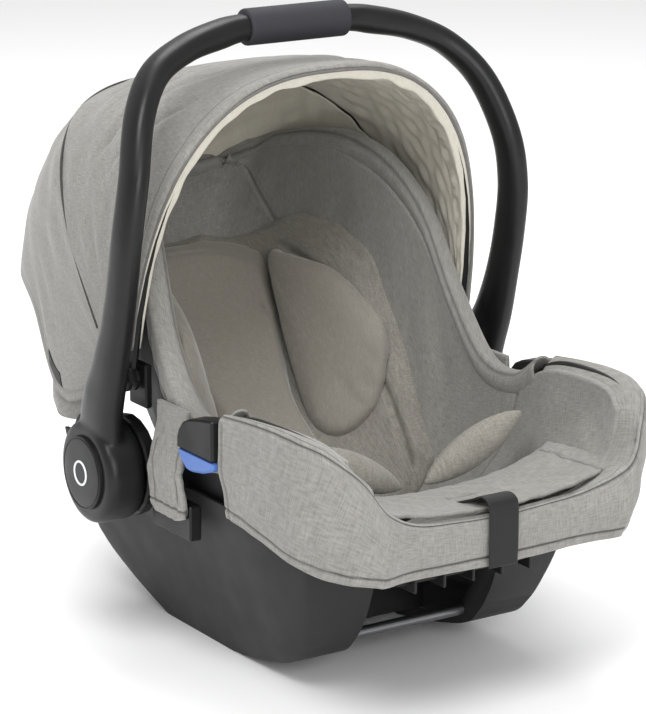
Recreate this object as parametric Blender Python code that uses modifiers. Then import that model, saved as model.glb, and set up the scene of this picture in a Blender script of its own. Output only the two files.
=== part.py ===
"""Infant car seat with a swing-over carrying handle and a folding canopy.

Metres, +Z up, +X across the seat, +Y towards the head end. The origin is on the floor under
the middle of the seat's outer box. Every piece is its own closed solid.
"""
import math

import bmesh
import bpy
import numpy as np
from mathutils import Matrix, Vector

# ---- driving dimensions -------------------------------------------------------------------
GAP = 0.0004                 # clearance between touching pieces

PIVOT_Y, PIVOT_Z = 0.0175, 0.166        # axis of the carrying handle
HUB_R = 0.047
HUB_INNER_X, HUB_OUTER_X = 0.180, 0.2185
HUB_CAP_R, HUB_CAP_X = 0.0335, 0.222
PIN_R = 0.008
BORE_R = 0.0085

HOOD_Y, HOOD_Z = 0.0025, 0.250          # axis of the canopy bows
HOOD_REACH = 0.351                      # farthest the canopy stands from the handle's axis
FRONT_BOW = {"lean": -10.2, "half_width": 0.1768, "power": 2.6}
REAR_BOW = {"lean": 39.0, "half_width": 0.1855, "power": 3.4}
HOOD_HEM = {"lean": 81.0, "half_width": 0.178, "power": 3.2, "reach": 0.3225}
BOW_R = 0.0035
BOW_START = 0.0095           # the rods start this far from their axis, inside the eyes
HOOD_INSIDE, HOOD_OUTSIDE = 0.0050, 0.0068

SHELL_WALL = 0.004
COVER_LOW, COVER_HIGH = 0.0032, 0.012   # heights of the soft layers over the shell
BACK_PAD_HIGH = 0.024
INSERT_HIGH = 0.046
LAYER_GAP = 0.0036                      # room between the layers, which bend differently
STRAP_ROOM = 0.0060                     # room for the shoulder straps under the insert

PANEL_WALL = 0.004
RUNNER_INNER_X = 0.066
NOSE_START_Y, NOSE_TURN = -0.150, 0.0150   # the wall turns in this much towards the front tip
PANEL_FOOT_X, PANEL_FLARE = 0.115, 0.297

STRAP_HALF = 0.015
STRAP_THICK = 0.0016

# Sections of the moulded shell from head to foot: the middle of the floor (y, z), then the
# rim at the right-hand side (x, y, z).
SHELL_SECTIONS = [
    ((0.286, 0.370), (0.086, 0.272, 0.381)),
    ((0.292, 0.332), (0.112, 0.240, 0.394)),
    ((0.268, 0.282), (0.120, 0.198, 0.404)),
    ((0.224, 0.234), (0.124, 0.150, 0.412)),
    ((0.164, 0.182), (0.128, 0.098, 0.412)),
    ((0.100, 0.130), (0.138, 0.052, 0.394)),
    ((0.040, 0.092), (0.150, 0.014, 0.352)),
    ((-0.020, 0.070), (0.157, -0.022, 0.286)),
    ((-0.075, 0.076), (0.159, -0.070, 0.232)),
    ((-0.130, 0.098), (0.160, -0.120, 0.226)),
    ((-0.185, 0.118), (0.162, -0.162, 0.252)),
    ((-0.235, 0.138), (0.162, -0.215, 0.258)),
    ((-0.275, 0.154), (0.158, -0.262, 0.256)),
    ((-0.297, 0.163), (0.148, -0.290, 0.244)),
]

# Right-hand edges of the pads on the shell: place from head to foot, share of the width.
BACK_PAD_EDGE = [(1.75, 0.20), (2.1, 0.45), (2.6, 0.66), (3.1, 0.77), (4.0, 0.83), (4.8, 0.84), (5.4, 0.80),
                 (6.4, 0.72), (7.4, 0.60)]
INSERT_EDGE = [(1.9, 0.18), (2.3, 0.42), (2.7, 0.54), (3.2, 0.58), (3.7, 0.53), (4.25, 0.41), (5.0, 0.25),
               (6.6, 0.23)]
WING_INNER = [(3.3, 0.62), (3.7, 0.57), (4.25, 0.45), (4.62, 0.365), (5.0, 0.29), (5.3, 0.25), (5.66, 0.34),
              (6.0, 0.56)]
WING_OUTER = [(3.3, 0.65), (3.98, 0.72), (4.5, 0.755), (5.05, 0.765), (5.55, 0.77), (5.88, 0.74), (6.0, 0.66)]

# Wall round the head end from its right front edge to the middle of the back: lower edge
# x, y, z, then the place on the shell (from head to foot, share of the width) that it hangs from.
HEAD_COVER = [
    (0.1530, 0.0640, 0.215, 5.2, 0.97), (0.1530, 0.1000, 0.190, 4.0, 0.97), (0.1510, 0.1560, 0.170, 3.1, 0.96),
    (0.1450, 0.2050, 0.165, 2.4, 0.93), (0.1250, 0.2480, 0.178, 1.9, 0.84), (0.0900, 0.2750, 0.215, 1.5, 0.62),
    (0.0450, 0.2900, 0.255, 1.3, 0.32), (0.0000, 0.2950, 0.270, 1.2, 0.0),
]
HEAD_COVER_GAP, HEAD_COVER_WALL = 0.0070, 0.0045

# Middle line of the carrying handle from the right hub to the top: x, y, z, then half the
# thickness across and half the depth fore and aft.
HANDLE_LINE = [
    (0.2030, 0.0150, 0.170, 0.0110, 0.0300),
    (0.2060, 0.0060, 0.222, 0.0125, 0.0270),
    (0.2070, -0.0110, 0.263, 0.0120, 0.0220),
    (0.2065, -0.0245, 0.303, 0.0112, 0.0185),
    (0.2060, -0.0350, 0.347, 0.0110, 0.0175),
    (0.2040, -0.0415, 0.392, 0.0110, 0.0170),
    (0.1960, -0.0400, 0.438, 0.0110, 0.0165),
    (0.1800, -0.0230, 0.487, 0.0112, 0.0160),
    (0.1540, -0.0045, 0.519, 0.0115, 0.0155),
    (0.1180, 0.0055, 0.5365, 0.0120, 0.0150),
    (0.0800, 0.0112, 0.5452, 0.0130, 0.0145),
    (0.0540, 0.0133, 0.5487, 0.0122, 0.0130),
    (0.0000, 0.0135, 0.5490, 0.0122, 0.0130),
]
GRIP_HALF, GRIP_R = 0.052, 0.0165

# Lower edge of a side panel from the front tip to the rear (y, z); the level middle is the foot.
PANEL_EDGE = [
    (-0.2240, 0.1290), (-0.2190, 0.1100), (-0.2120, 0.0880), (-0.2030, 0.0660), (-0.1880, 0.0430),
    (-0.1650, 0.0240), (-0.1035, 0.0075), (-0.0650, 0.0012), (-0.0500, 0.0), (0.0500, 0.0), (0.0640, 0.0030),
    (0.0900, 0.0150), (0.1120, 0.0267), (0.1400, 0.0460), (0.1500, 0.0620), (0.1550, 0.1000),
]
PANEL_TOP_FRONT, PANEL_TOP = 0.134, 0.165

# Plan of the foot-end cover from its right rear edge round to the middle of the front:
# x, y of the outer face, then the hem height, the top height and how far the hem tucks in.
FOOT_COVER = [
    (0.1810, -0.1500, 0.162, 0.262, 0.006), (0.1820, -0.1900, 0.155, 0.266, 0.010),
    (0.1820, -0.2300, 0.147, 0.268, 0.013), (0.1790, -0.2640, 0.142, 0.266, 0.015),
    (0.1670, -0.2930, 0.139, 0.260, 0.015), (0.1470, -0.3150, 0.138, 0.242, 0.013),
    (0.1250, -0.3277, 0.137, 0.212, 0.013), (0.0880, -0.3150, 0.136, 0.195, 0.004),
    (0.0450, -0.3093, 0.134, 0.190, 0.001), (0.0000, -0.3082, 0.133, 0.188, 0.001),
]
FOOT_COVER_WALL = 0.0072
FLAP_THICK = 0.0055

# Route of the harness adjuster strap over the foot end (y, z).
STRAP_LINE = [
    (-0.2345, 0.1690), (-0.2600, 0.1770), (-0.2840, 0.1865), (-0.2970, 0.1920), (-0.3070, 0.1908),
    (-0.3111, 0.1830), (-0.3115, 0.1500), (-0.3108, 0.1330),
]

SIDES = (("left", -1.0), ("right", 1.0))
UP_X = Matrix.Rotation(math.pi / 2, 4, "Y")     # turns +Z to +X


# ---- helpers ------------------------------------------------------------------------------
def clear_scene():
    for thing in list(bpy.data.objects):
        bpy.data.objects.remove(thing, do_unlink=True)


def new_collection(name):
    group = bpy.data.collections.new(name)
    bpy.context.scene.collection.children.link(group)
    return group


def finish_material(name, rgb, roughness, metallic=0.0):
    made = bpy.data.materials.get(name)
    if made is None:
        made = bpy.data.materials.new(name)
        made.use_nodes = True
        shader = made.node_tree.nodes["Principled BSDF"]
        shader.inputs["Base Color"].default_value = (*rgb, 1.0)
        shader.inputs["Roughness"].default_value = roughness
        shader.inputs["Metallic"].default_value = metallic
    return made


def black_plastic():
    return finish_material("black_plastic", (0.022, 0.022, 0.024), 0.42)


def dark_shell():
    return finish_material("dark_shell_plastic", (0.045, 0.045, 0.046), 0.5)


def grey_fabric():
    return finish_material("grey_fabric", (0.33, 0.31, 0.285), 0.95)


def soft_fabric():
    return finish_material("soft_grey_fabric", (0.24, 0.22, 0.20), 0.95)


def black_webbing():
    return finish_material("black_webbing", (0.03, 0.028, 0.032), 0.8)


def steel():
    return finish_material("zinc_plated_steel", (0.55, 0.55, 0.56), 0.35, 1.0)


def blue_plastic():
    return finish_material("blue_plastic", (0.08, 0.21, 0.62), 0.4)


def red_plastic():
    return finish_material("red_plastic", (0.55, 0.03, 0.03), 0.4)


def slate_plastic():
    return finish_material("slate_plastic", (0.09, 0.10, 0.13), 0.5)


def add_object(name, mesh, finish, group):
    made = bpy.data.objects.new(name, mesh)
    mesh.materials.append(finish)
    group.objects.link(made)
    return made


def mesh_from(name, points, faces):
    mesh = bpy.data.meshes.new(name)
    mesh.from_pydata([tuple(p) for p in points], [], faces)
    mesh.validate()
    return mesh


def smooth(mesh, degrees=35.0):
    mesh.shade_smooth()
    mesh.set_sharp_from_angle(angle=math.radians(degrees))


def face_out(mesh):
    """Point the faces of a closed mesh outwards."""
    edit = bmesh.new()
    edit.from_mesh(mesh)
    bmesh.ops.remove_doubles(edit, verts=edit.verts, dist=1e-6)
    bmesh.ops.recalc_face_normals(edit, faces=edit.faces)
    edit.to_mesh(mesh)
    edit.free()


def through(points, per_span):
    """Smooth curve through the rows of points, with per_span steps between two rows."""
    rows = np.asarray(points, float)
    padded = np.vstack([2 * rows[0] - rows[1], rows, 2 * rows[-1] - rows[-2]])
    out = []
    for k in range(len(rows) - 1):
        a, b, c, d = padded[k:k + 4]
        for t in np.arange(per_span) / per_span:
            out.append(0.5 * (2 * b + (c - a) * t + (2 * a - 5 * b + 4 * c - d) * t * t
                              + (3 * b - a - 3 * c + d) * t ** 3))
    out.append(rows[-1])
    return np.array(out)


def loft(name, rings, finish, group, angle=35.0):
    """Closed body through rings of equal length, with a flat cap on each end."""
    rings = np.asarray(rings, float)
    count, size = rings.shape[:2]
    faces = [tuple(range(size)), tuple((count - 1) * size + k for k in range(size))[::-1]]
    for i in range(count - 1):
        for j in range(size):
            k = (j + 1) % size
            faces.append((i * size + j, (i + 1) * size + j, (i + 1) * size + k, i * size + k))
    mesh = mesh_from(name, rings.reshape(-1, 3), faces)
    face_out(mesh)
    smooth(mesh, angle)
    return add_object(name, mesh, finish, group)


def slab_between(name, low, high, finish, group):
    """Closed body between two grids of points that face each other."""
    low, high = np.asarray(low, float), np.asarray(high, float)
    rows, columns = low.shape[:2]
    at = np.arange(rows * columns).reshape(rows, columns)
    faces = []
    for i in range(rows - 1):
        for j in range(columns - 1):
            quad = (at[i, j], at[i + 1, j], at[i + 1, j + 1], at[i, j + 1])
            faces.append(tuple(int(q) for q in quad))
            faces.append(tuple(int(q) + rows * columns for q in quad[::-1]))
    border = [(0, j) for j in range(columns)] + [(i, columns - 1) for i in range(1, rows)]
    border += [(rows - 1, j) for j in range(columns - 2, -1, -1)] + [(i, 0) for i in range(rows - 2, 0, -1)]
    ring = [int(at[i, j]) for i, j in border]
    for a, b in zip(ring, ring[1:] + ring[:1]):
        faces.append((a, b, b + rows * columns, a + rows * columns))
    mesh = mesh_from(name, np.vstack([low.reshape(-1, 3), high.reshape(-1, 3)]), faces)
    face_out(mesh)
    smooth(mesh, 40.0)
    return add_object(name, mesh, finish, group)


def bar(name, radius, length, finish, group, sides=20):
    """Round bar centred on the origin along X."""
    mesh = bpy.data.meshes.new(name)
    edit = bmesh.new()
    bmesh.ops.create_cone(edit, cap_ends=True, segments=sides, radius1=radius, radius2=radius,
                          depth=length, matrix=UP_X)
    edit.to_mesh(mesh)
    edit.free()
    smooth(mesh)
    return add_object(name, mesh, finish, group)


def block(name, size, finish, group, bevel=0.0):
    """Box centred on the origin, with its edges rounded."""
    mesh = bpy.data.meshes.new(name)
    edit = bmesh.new()
    bmesh.ops.create_cube(edit, size=1.0, matrix=Matrix.Diagonal((*size, 1.0)))
    edit.to_mesh(mesh)
    edit.free()
    made = add_object(name, mesh, finish, group)
    if bevel:
        rounded = made.modifiers.new("rounded_edges", "BEVEL")
        rounded.width = bevel
        rounded.segments = 1
        rounded.limit_method = "ANGLE"
    return made


def turned(name, profile, finish, group, side, steps=20):
    """Profile of (distance from the axis, place along the axis), closed, turned about X."""
    mesh = bpy.data.meshes.new(name)
    edges = [(k, (k + 1) % len(profile)) for k in range(len(profile))]
    mesh.from_pydata([(r, 0.0, place) for r, place in profile], edges, [])
    made = add_object(name, mesh, finish, group)
    spun = made.modifiers.new("turned", "SCREW")
    spun.angle = math.tau
    spun.steps = steps
    spun.render_steps = steps
    spun.use_merge_vertices = True
    spun.merge_threshold = 1e-5
    made.rotation_euler = (0.0, math.pi / 2 * side, 0.0)
    return made


def plate(name, outline, low, high, finish, group, bevel=0.0):
    """Flat outline of (y, z) points, extruded along X from low to high."""
    flat = bpy.data.curves.new(name, "CURVE")
    flat.dimensions = "2D"
    flat.fill_mode = "BOTH"
    flat.extrude = (high - low) / 2
    line = flat.splines.new("POLY")
    line.points.add(len(outline) - 1)
    line.use_cyclic_u = True
    for point, (y, z) in zip(line.points, outline):
        point.co = (y, z, 0.0, 1.0)
    guide = bpy.data.objects.new(name + "_outline", flat)
    group.objects.link(guide)
    bpy.context.view_layer.update()
    mesh = bpy.data.meshes.new_from_object(guide.evaluated_get(bpy.context.evaluated_depsgraph_get()))
    bpy.data.objects.remove(guide, do_unlink=True)
    mesh.name = name
    # The outline is drawn flat as (y, z); this stands it up across X.
    stand = Matrix(((0, 0, 1, (low + high) / 2), (1, 0, 0, 0), (0, 1, 0, 0), (0, 0, 0, 1)))
    mesh.transform(stand)
    face_out(mesh)
    mesh.materials.clear()
    made = add_object(name, mesh, finish, group)
    if bevel:
        rounded = made.modifiers.new("rounded_edges", "BEVEL")
        rounded.width = bevel
        rounded.segments = 1
        rounded.limit_method = "ANGLE"
    return made


def cut(target, tool, operation="DIFFERENCE"):
    """Boolean with a tool that is kept out of the model."""
    tool.hide_render = True
    tool.display_type = "WIRE"
    change = target.modifiers.new("cut_" + tool.name, "BOOLEAN")
    change.operation = operation
    change.solver = "EXACT"
    change.object = tool


def place(made, x=0.0, y=0.0, z=0.0):
    made.location = (x, y, z)
    return made


# ---- the shell and what lies on it ----------------------------------------------------------
def shell_point(u, v, height):
    """Point over the shell's inner face; u runs 0 to 13 from head to foot, v runs -1 to 1.

    A section leaves the middle line nearly level and climbs to the rim nearly upright.
    """
    sections = np.array([(*floor, *rim) for floor, rim in SHELL_SECTIONS])
    u = np.clip(u, 0.0, len(sections) - 1.0)

    def surface(uu, vv):
        k = np.clip(np.floor(uu).astype(int), 0, len(sections) - 2)
        t = (uu - k)[..., None]
        before = sections[np.maximum(k - 1, 0)]
        a, b = sections[k], sections[k + 1]
        after = sections[np.minimum(k + 2, len(sections) - 1)]
        row = 0.5 * (2 * a + (b - before) * t + (2 * before - 5 * a + 4 * b - after) * t * t
                     + (3 * a - before - 3 * b + after) * t ** 3)
        turn = np.abs(vv) * math.pi / 2
        across, up = np.sin(turn) ** 0.75, (1 - np.cos(turn)) ** 1.25
        return np.stack([np.sign(vv) * row[..., 2] * across,
                         row[..., 0] + (row[..., 3] - row[..., 0]) * up,
                         row[..., 1] + (row[..., 4] - row[..., 1]) * up], axis=-1)

    here = surface(u, v)
    if not np.any(height):
        return here
    step = 0.02
    along = surface(np.clip(u + step, 0, 13), v) - surface(np.clip(u - step, 0, 13), v)
    over = surface(u, np.clip(v + step, -1, 1)) - surface(u, np.clip(v - step, -1, 1))
    normal = np.cross(along, over)
    normal /= np.linalg.norm(normal, axis=-1, keepdims=True)
    return here + normal * np.asarray(height)[..., None]


def even_v(count, low=-1.0, high=1.0):
    return np.linspace(low, high, count)


def layer(name, left, right, low, high, finish, group, rows, columns, edge=0.35):
    """Pad over the shell from height low to height high, thinner along its border.

    left and right are its edges, as lists of (place from head to foot, share of the width).
    """
    left, right = np.array(left), np.array(right)
    u = np.linspace(left[0, 0], left[-1, 0], rows)[:, None] * np.ones(columns)
    first, last = (np.interp(u[:, 0], line[:, 0], line[:, 1])[:, None] for line in (left, right))
    v = first + (last - first) * np.linspace(0, 1, columns)
    s = np.linspace(-1, 1, rows)[:, None]
    t = np.linspace(-1, 1, columns)[None, :]
    crown = edge + (1 - edge) * np.sqrt(np.clip((1 - s ** 4) * (1 - t ** 4), 0, 1))
    under = shell_point(u, v, np.full(u.shape, low))
    over = shell_point(u, v, low + (high - low) * crown)
    return slab_between(name, under, over, finish, group)


def seat_shell(group):
    u, v = np.meshgrid(np.linspace(0, 13, 21), even_v(15), indexing="ij")
    inner = shell_point(u, v, np.full(u.shape, 0.0))
    outer = shell_point(u, v, np.full(u.shape, -SHELL_WALL))
    return slab_between("seat_shell", outer, inner, dark_shell(), group)


def side_panel_outline(y):
    """Heights of a side panel's lower and upper edges at the distance y."""
    edge = np.array(PANEL_EDGE)
    low = np.interp(y, edge[:, 0], edge[:, 1])
    top = np.interp(y, [edge[0, 0], -0.19, -0.13, edge[-1, 0]],
                    [PANEL_TOP_FRONT, 0.156, PANEL_TOP, PANEL_TOP])
    return low, top


def side_panels(group):
    """Rocker-edged skirts: a flared wall with a runner turned in along its lower edge."""
    for word, side in SIDES:
        rings = []
        for y, low in PANEL_EDGE:
            top = side_panel_outline(y)[1]
            lip = min(0.012, (top - low) * 0.4)
            middle = (low + top) / 2

            turned_in = NOSE_TURN * max(0.0, (NOSE_START_Y - y) / (NOSE_START_Y - PANEL_EDGE[0][0])) ** 2

            def outer(z):
                return PANEL_FOOT_X + PANEL_FLARE * z - turned_in

            ring = [(outer(low), low), (outer(middle), middle), (outer(top), top),
                    (outer(top) - PANEL_WALL, top), (outer(middle) - PANEL_WALL, middle),
                    (outer(low + lip) - PANEL_WALL, low + lip), (RUNNER_INNER_X, low + lip),
                    (RUNNER_INNER_X, low)]
            rings.append([(side * x, y, z) for x, z in ring])
        loft("side_panel_" + word, rings, dark_shell(), group, 25.0)


def latch_bars(group):
    length = 2 * (RUNNER_INNER_X - GAP)
    place(bar("front_latch_bar", 0.005, length, steel(), group), y=-0.1610, z=0.0360)
    place(bar("rear_latch_bar", 0.006, length, steel(), group), y=0.1120, z=0.0332)


def under_latch(group, cutters):
    """Housing and hooks that lock the seat to a base or a pushchair."""
    place(block("latch_housing", (0.100, 0.070, 0.030), dark_shell(), group, 0.003), y=-0.020, z=0.0395)
    yoke = place(bar("latch_hooks", 0.005, 0.128, steel(), group, 16), y=0.045, z=0.046)
    for word, side in SIDES:
        hook = plate("hook_" + word, [(-0.009, 0.004), (0.003, 0.009), (0.009, 0.003), (0.008, -0.012),
                                      (0.001, -0.022), (-0.012, -0.024), (-0.012, -0.018),
                                      (-0.002, -0.014), (-0.004, -0.005)],
                     side * 0.056 - 0.003, side * 0.056 + 0.003, steel(), cutters)
        place(hook, y=0.045, z=0.046)
        cut(yoke, hook, "UNION")


def rear_release(group, cutters):
    """Squeeze lever in a pocket on the sloping back of the shell."""
    slope = Matrix.Rotation(math.radians(44.0), 4, "X")
    middle = Vector((0.0, 0.2175, 0.2000))
    pocket = block("release_pocket", (0.100, 0.052, 0.018), dark_shell(), group, 0.003)
    hollow = block("release_hollow", (0.080, 0.036, 0.020), dark_shell(), cutters)
    lever = block("release_lever", (0.076, 0.020, 0.014), black_plastic(), group, 0.003)
    pocket.matrix_world = Matrix.Translation(middle) @ slope
    hollow.matrix_world = Matrix.Translation(middle) @ slope @ Matrix.Translation((0, 0, -0.007))
    lever.matrix_world = Matrix.Translation(middle) @ slope @ Matrix.Translation((0, -0.006, -0.0065))
    cut(pocket, hollow)


def belt_guides(group):
    """Black hooks on the sides for the car's lap belt, each with a blue lower insert."""
    split = 0.2110
    top = [(-0.0882, split), (-0.0885, 0.2215), (-0.0915, 0.2290), (-0.0975, 0.2355), (-0.1080, 0.2405),
           (-0.1260, 0.2445), (-0.1480, 0.2480), (-0.1480, split)]
    low = [(-0.0895, split - GAP), (-0.1480, split - GAP), (-0.1480, 0.2035), (-0.1300, 0.1975),
           (-0.1120, 0.1945), (-0.1010, 0.1965), (-0.0930, 0.2025)]
    for word, side in SIDES:
        near, far = sorted((side * 0.1665, side * 0.1860))
        plate("belt_guide_" + word, top, near, far, black_plastic(), group, 0.002)
        near, far = sorted((side * 0.1775, side * 0.1858))
        plate("belt_guide_insert_" + word, low, near, far, blue_plastic(), group, 0.002)


def adaptor_sockets(group, cutters):
    """Open-bottomed pockets that drop on to a pushchair's adaptors."""
    for word, side in SIDES:
        body = block("adaptor_socket_" + word, (0.0120, 0.066, 0.0320), black_plastic(), group, 0.0015)
        place(body, side * 0.1730, -0.0660, 0.1420)
        hollow = block("socket_hollow_" + word, (0.0072, 0.056, 0.0320), black_plastic(), cutters)
        place(hollow, side * 0.1730, -0.0660, 0.1360)
        cut(body, hollow)


def hub_bases(group):
    """Fixed discs on the shell that the handle's hubs turn against."""
    profile = [(BORE_R, 0.1795), (0.044, 0.1795), (0.046, 0.1778), (0.046, 0.1685), (BORE_R, 0.1685)]
    for word, side in SIDES:
        place(turned("hub_base_" + word, profile, black_plastic(), group, side), 0, PIVOT_Y, PIVOT_Z)


def canopy_brackets(group):
    for word, side in SIDES:
        body = block("canopy_bracket_" + word, (0.0070, 0.030, 0.040), black_plastic(), group, 0.0015)
        place(body, side * 0.1685, HOOD_Y, HOOD_Z - 0.006)


def soft_cover(group):
    """Fabric layers over the shell: cover, quilted back pad and the newborn insert."""
    layer("seat_cover", [(0.15, -0.97), (12.85, -0.97)], [(0.15, 0.97), (12.85, 0.97)],
          COVER_LOW, COVER_HIGH, grey_fabric(), group, 21, 15, 0.6)

    def mirrored(line):
        return [(u, -v) for u, v in line]

    layer("back_pad", mirrored(BACK_PAD_EDGE), BACK_PAD_EDGE, COVER_HIGH + LAYER_GAP, BACK_PAD_HIGH,
          soft_fabric(), group, 13, 9)
    base = BACK_PAD_HIGH + STRAP_ROOM
    layer("insert_body", mirrored(INSERT_EDGE), INSERT_EDGE, base, INSERT_HIGH, soft_fabric(), group, 13, 9)
    layer("insert_wing_left", mirrored(WING_OUTER), mirrored(WING_INNER), base, INSERT_HIGH,
          soft_fabric(), group, 12, 6)
    layer("insert_wing_right", WING_INNER, WING_OUTER, base, INSERT_HIGH, soft_fabric(), group, 12, 6)


def head_cover(group):
    """Fabric wall hung round the head end of the shell, under the canopy."""
    half = np.array(HEAD_COVER)
    row = through(np.vstack([half, half[-2::-1] * (-1, 1, 1, 1, -1)]), 2)
    rings = []
    for x, y, z, u, v in row:
        inside, outside = (shell_point(np.array(u), np.array(v), np.array(-deep))
                           for deep in (HEAD_COVER_GAP, HEAD_COVER_GAP + HEAD_COVER_WALL))
        low = np.array((x, y, z))
        inward = -np.array((x, y - 0.05, 0.0)) / math.hypot(x, y - 0.05)
        middle = (outside + low) / 2 - inward * 0.006
        rings.append([inside, outside, middle, low, low + inward * HEAD_COVER_WALL,
                      middle + inward * HEAD_COVER_WALL])
    return loft("head_cover", rings, grey_fabric(), group)


def thigh_wings(group):
    """Two plump petals that stand up in a V over the crotch strap."""
    for word, side in SIDES:
        mesh = bpy.data.meshes.new("thigh_wing_" + word)
        edit = bmesh.new()
        bmesh.ops.create_uvsphere(edit, u_segments=12, v_segments=8, radius=1.0,
                                  matrix=Matrix.Diagonal((0.0610, 0.0125, 0.0170, 1.0)))
        edit.to_mesh(mesh)
        edit.free()
        smooth(mesh)
        petal = add_object("thigh_wing_" + word, mesh, grey_fabric(), group)
        petal.rotation_euler = (math.radians(-24.0), math.radians(-side * 26.0), 0.0)
        place(petal, side * 0.0640, -0.178, 0.1920)


def foot_cover(group):
    """Fabric wall hung round the foot end of the shell."""
    half = np.array(FOOT_COVER)
    row = through(np.vstack([half, half[-2::-1] * (-1, 1, 1, 1, 1)]), 2)
    along = np.gradient(row[:, :2], axis=0)
    inward = np.stack([along[:, 1], -along[:, 0]], axis=1)
    inward /= np.linalg.norm(inward, axis=1, keepdims=True)
    rings = []
    for (x, y, hem, top, tuck), n in zip(row, inward):
        deep = FOOT_COVER_WALL
        ring = [(tuck, hem), (tuck * 0.25, (hem + top) / 2), (0.0, top - 0.004), (0.004, top),
                (deep, top), (deep + tuck * 0.25, (hem + top) / 2), (deep + tuck, hem)]
        rings.append([(x + n[0] * d, y + n[1] * d, z) for d, z in ring])
    return loft("foot_cover", rings, grey_fabric(), group)


def side_flaps(group):
    """Fabric flaps that hang from the rim between the handle's hub and the belt guide."""
    levels = [(0.2385, -0.0835, -0.0330, 0.1668), (0.2150, -0.0845, -0.0335, 0.1690),
              (0.1980, -0.0860, -0.0345, 0.1745), (0.1820, -0.0910, -0.0360, 0.1797),
              (0.1650, -0.0965, -0.0385, 0.1797), (0.1500, -0.0965, -0.0400, 0.1797),
              (0.1430, -0.0930, -0.0440, 0.1797)]
    for word, side in SIDES:
        rings = [[(side * x, front, z), (side * x, rear, z), (side * (x + FLAP_THICK), rear, z),
                  (side * (x + FLAP_THICK), front, z)] for z, front, rear, x in levels]
        loft("side_flap_" + word, rings, grey_fabric(), group)


def strap_rings(line, half_width, thick, x_middle=0.0):
    """Rectangular rings along a strap that runs in a plane across X."""
    line = np.asarray(line, float)
    along = np.gradient(line, axis=0)
    along /= np.linalg.norm(along, axis=1, keepdims=True)
    rings = []
    for (y, z), (ty, tz) in zip(line, along):
        dy, dz = -tz * thick / 2, ty * thick / 2
        rings.append([(x_middle - half_width, y - dy, z - dz), (x_middle + half_width, y - dy, z - dz),
                      (x_middle + half_width, y + dy, z + dz), (x_middle - half_width, y + dy, z + dz)])
    return rings


def harness(group, cutters):
    """Buckle on its strap, shoulder straps tucked under the insert, and the front adjuster."""
    loft("adjuster_strap", strap_rings(through(STRAP_LINE, 2), STRAP_HALF, STRAP_THICK),
         black_webbing(), group)
    place(block("adjuster_housing", (0.044, 0.026, 0.008), steel(), group, 0.001), y=-0.2180, z=0.1590)
    place(block("adjuster_tab", (0.024, 0.018, 0.004), slate_plastic(), group, 0.001), y=-0.2170, z=0.1690)
    loft("buckle_strap", strap_rings([(-0.1030, 0.1085), (-0.1120, 0.1160), (-0.1226, 0.1200)],
                                     0.019, 0.002), black_webbing(), group)
    lean = Matrix.Rotation(math.radians(61.4), 4, "X")
    body = block("buckle_body", (0.048, 0.016, 0.050), black_plastic(), group, 0.003)
    stand = Matrix.Translation((0.0, -0.1465, 0.1340)) @ lean
    body.matrix_world = stand
    button = block("buckle_button", (0.026, 0.004, 0.020), red_plastic(), group, 0.001)
    button.matrix_world = stand @ Matrix.Translation((0, 0.0095, 0.004))
    recess = block("button_recess", (0.028, 0.010, 0.022), black_plastic(), cutters)
    recess.matrix_world = stand @ Matrix.Translation((0, 0.0090, 0.004))
    cut(body, recess)
    for word, side in SIDES:
        rows = np.linspace(3.2, 6.6, 9)
        v = np.full(rows.shape, side * 0.335)
        near = shell_point(rows, v - 0.022, np.full(rows.shape, BACK_PAD_HIGH + 0.003))
        far = shell_point(rows, v + 0.022, np.full(rows.shape, BACK_PAD_HIGH + 0.003))
        near_high = shell_point(rows, v - 0.022, np.full(rows.shape, BACK_PAD_HIGH + 0.005))
        far_high = shell_point(rows, v + 0.022, np.full(rows.shape, BACK_PAD_HIGH + 0.005))
        loft("shoulder_strap_" + word, np.stack([near, far, far_high, near_high], axis=1),
             black_webbing(), group)


# ---- the carrying handle --------------------------------------------------------------------
def handle_rings():
    """Rounded sections square to the handle's middle line, from the right hub to the left."""
    half = np.array(HANDLE_LINE)
    line = np.vstack([half, half[-2::-1] * (-1, 1, 1, 1, 1)])
    along = np.gradient(line[:, :3], axis=0)
    along /= np.linalg.norm(along, axis=1, keepdims=True)
    turn = np.linspace(0, math.tau, 12, endpoint=False)
    rings = []
    for (x, y, z, thin, deep), forward in zip(line, along):
        fore = np.array((0.0, 1.0, 0.0)) - forward * forward[1]
        fore /= np.linalg.norm(fore)
        out = np.cross(forward, fore)
        bend = 2 / 2.5
        across = np.sign(np.cos(turn)) * np.abs(np.cos(turn)) ** bend * thin
        ahead = np.sign(np.sin(turn)) * np.abs(np.sin(turn)) ** bend * deep
        rings.append(np.array((x, y, z)) + across[:, None] * out + ahead[:, None] * fore)
    return rings


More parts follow.
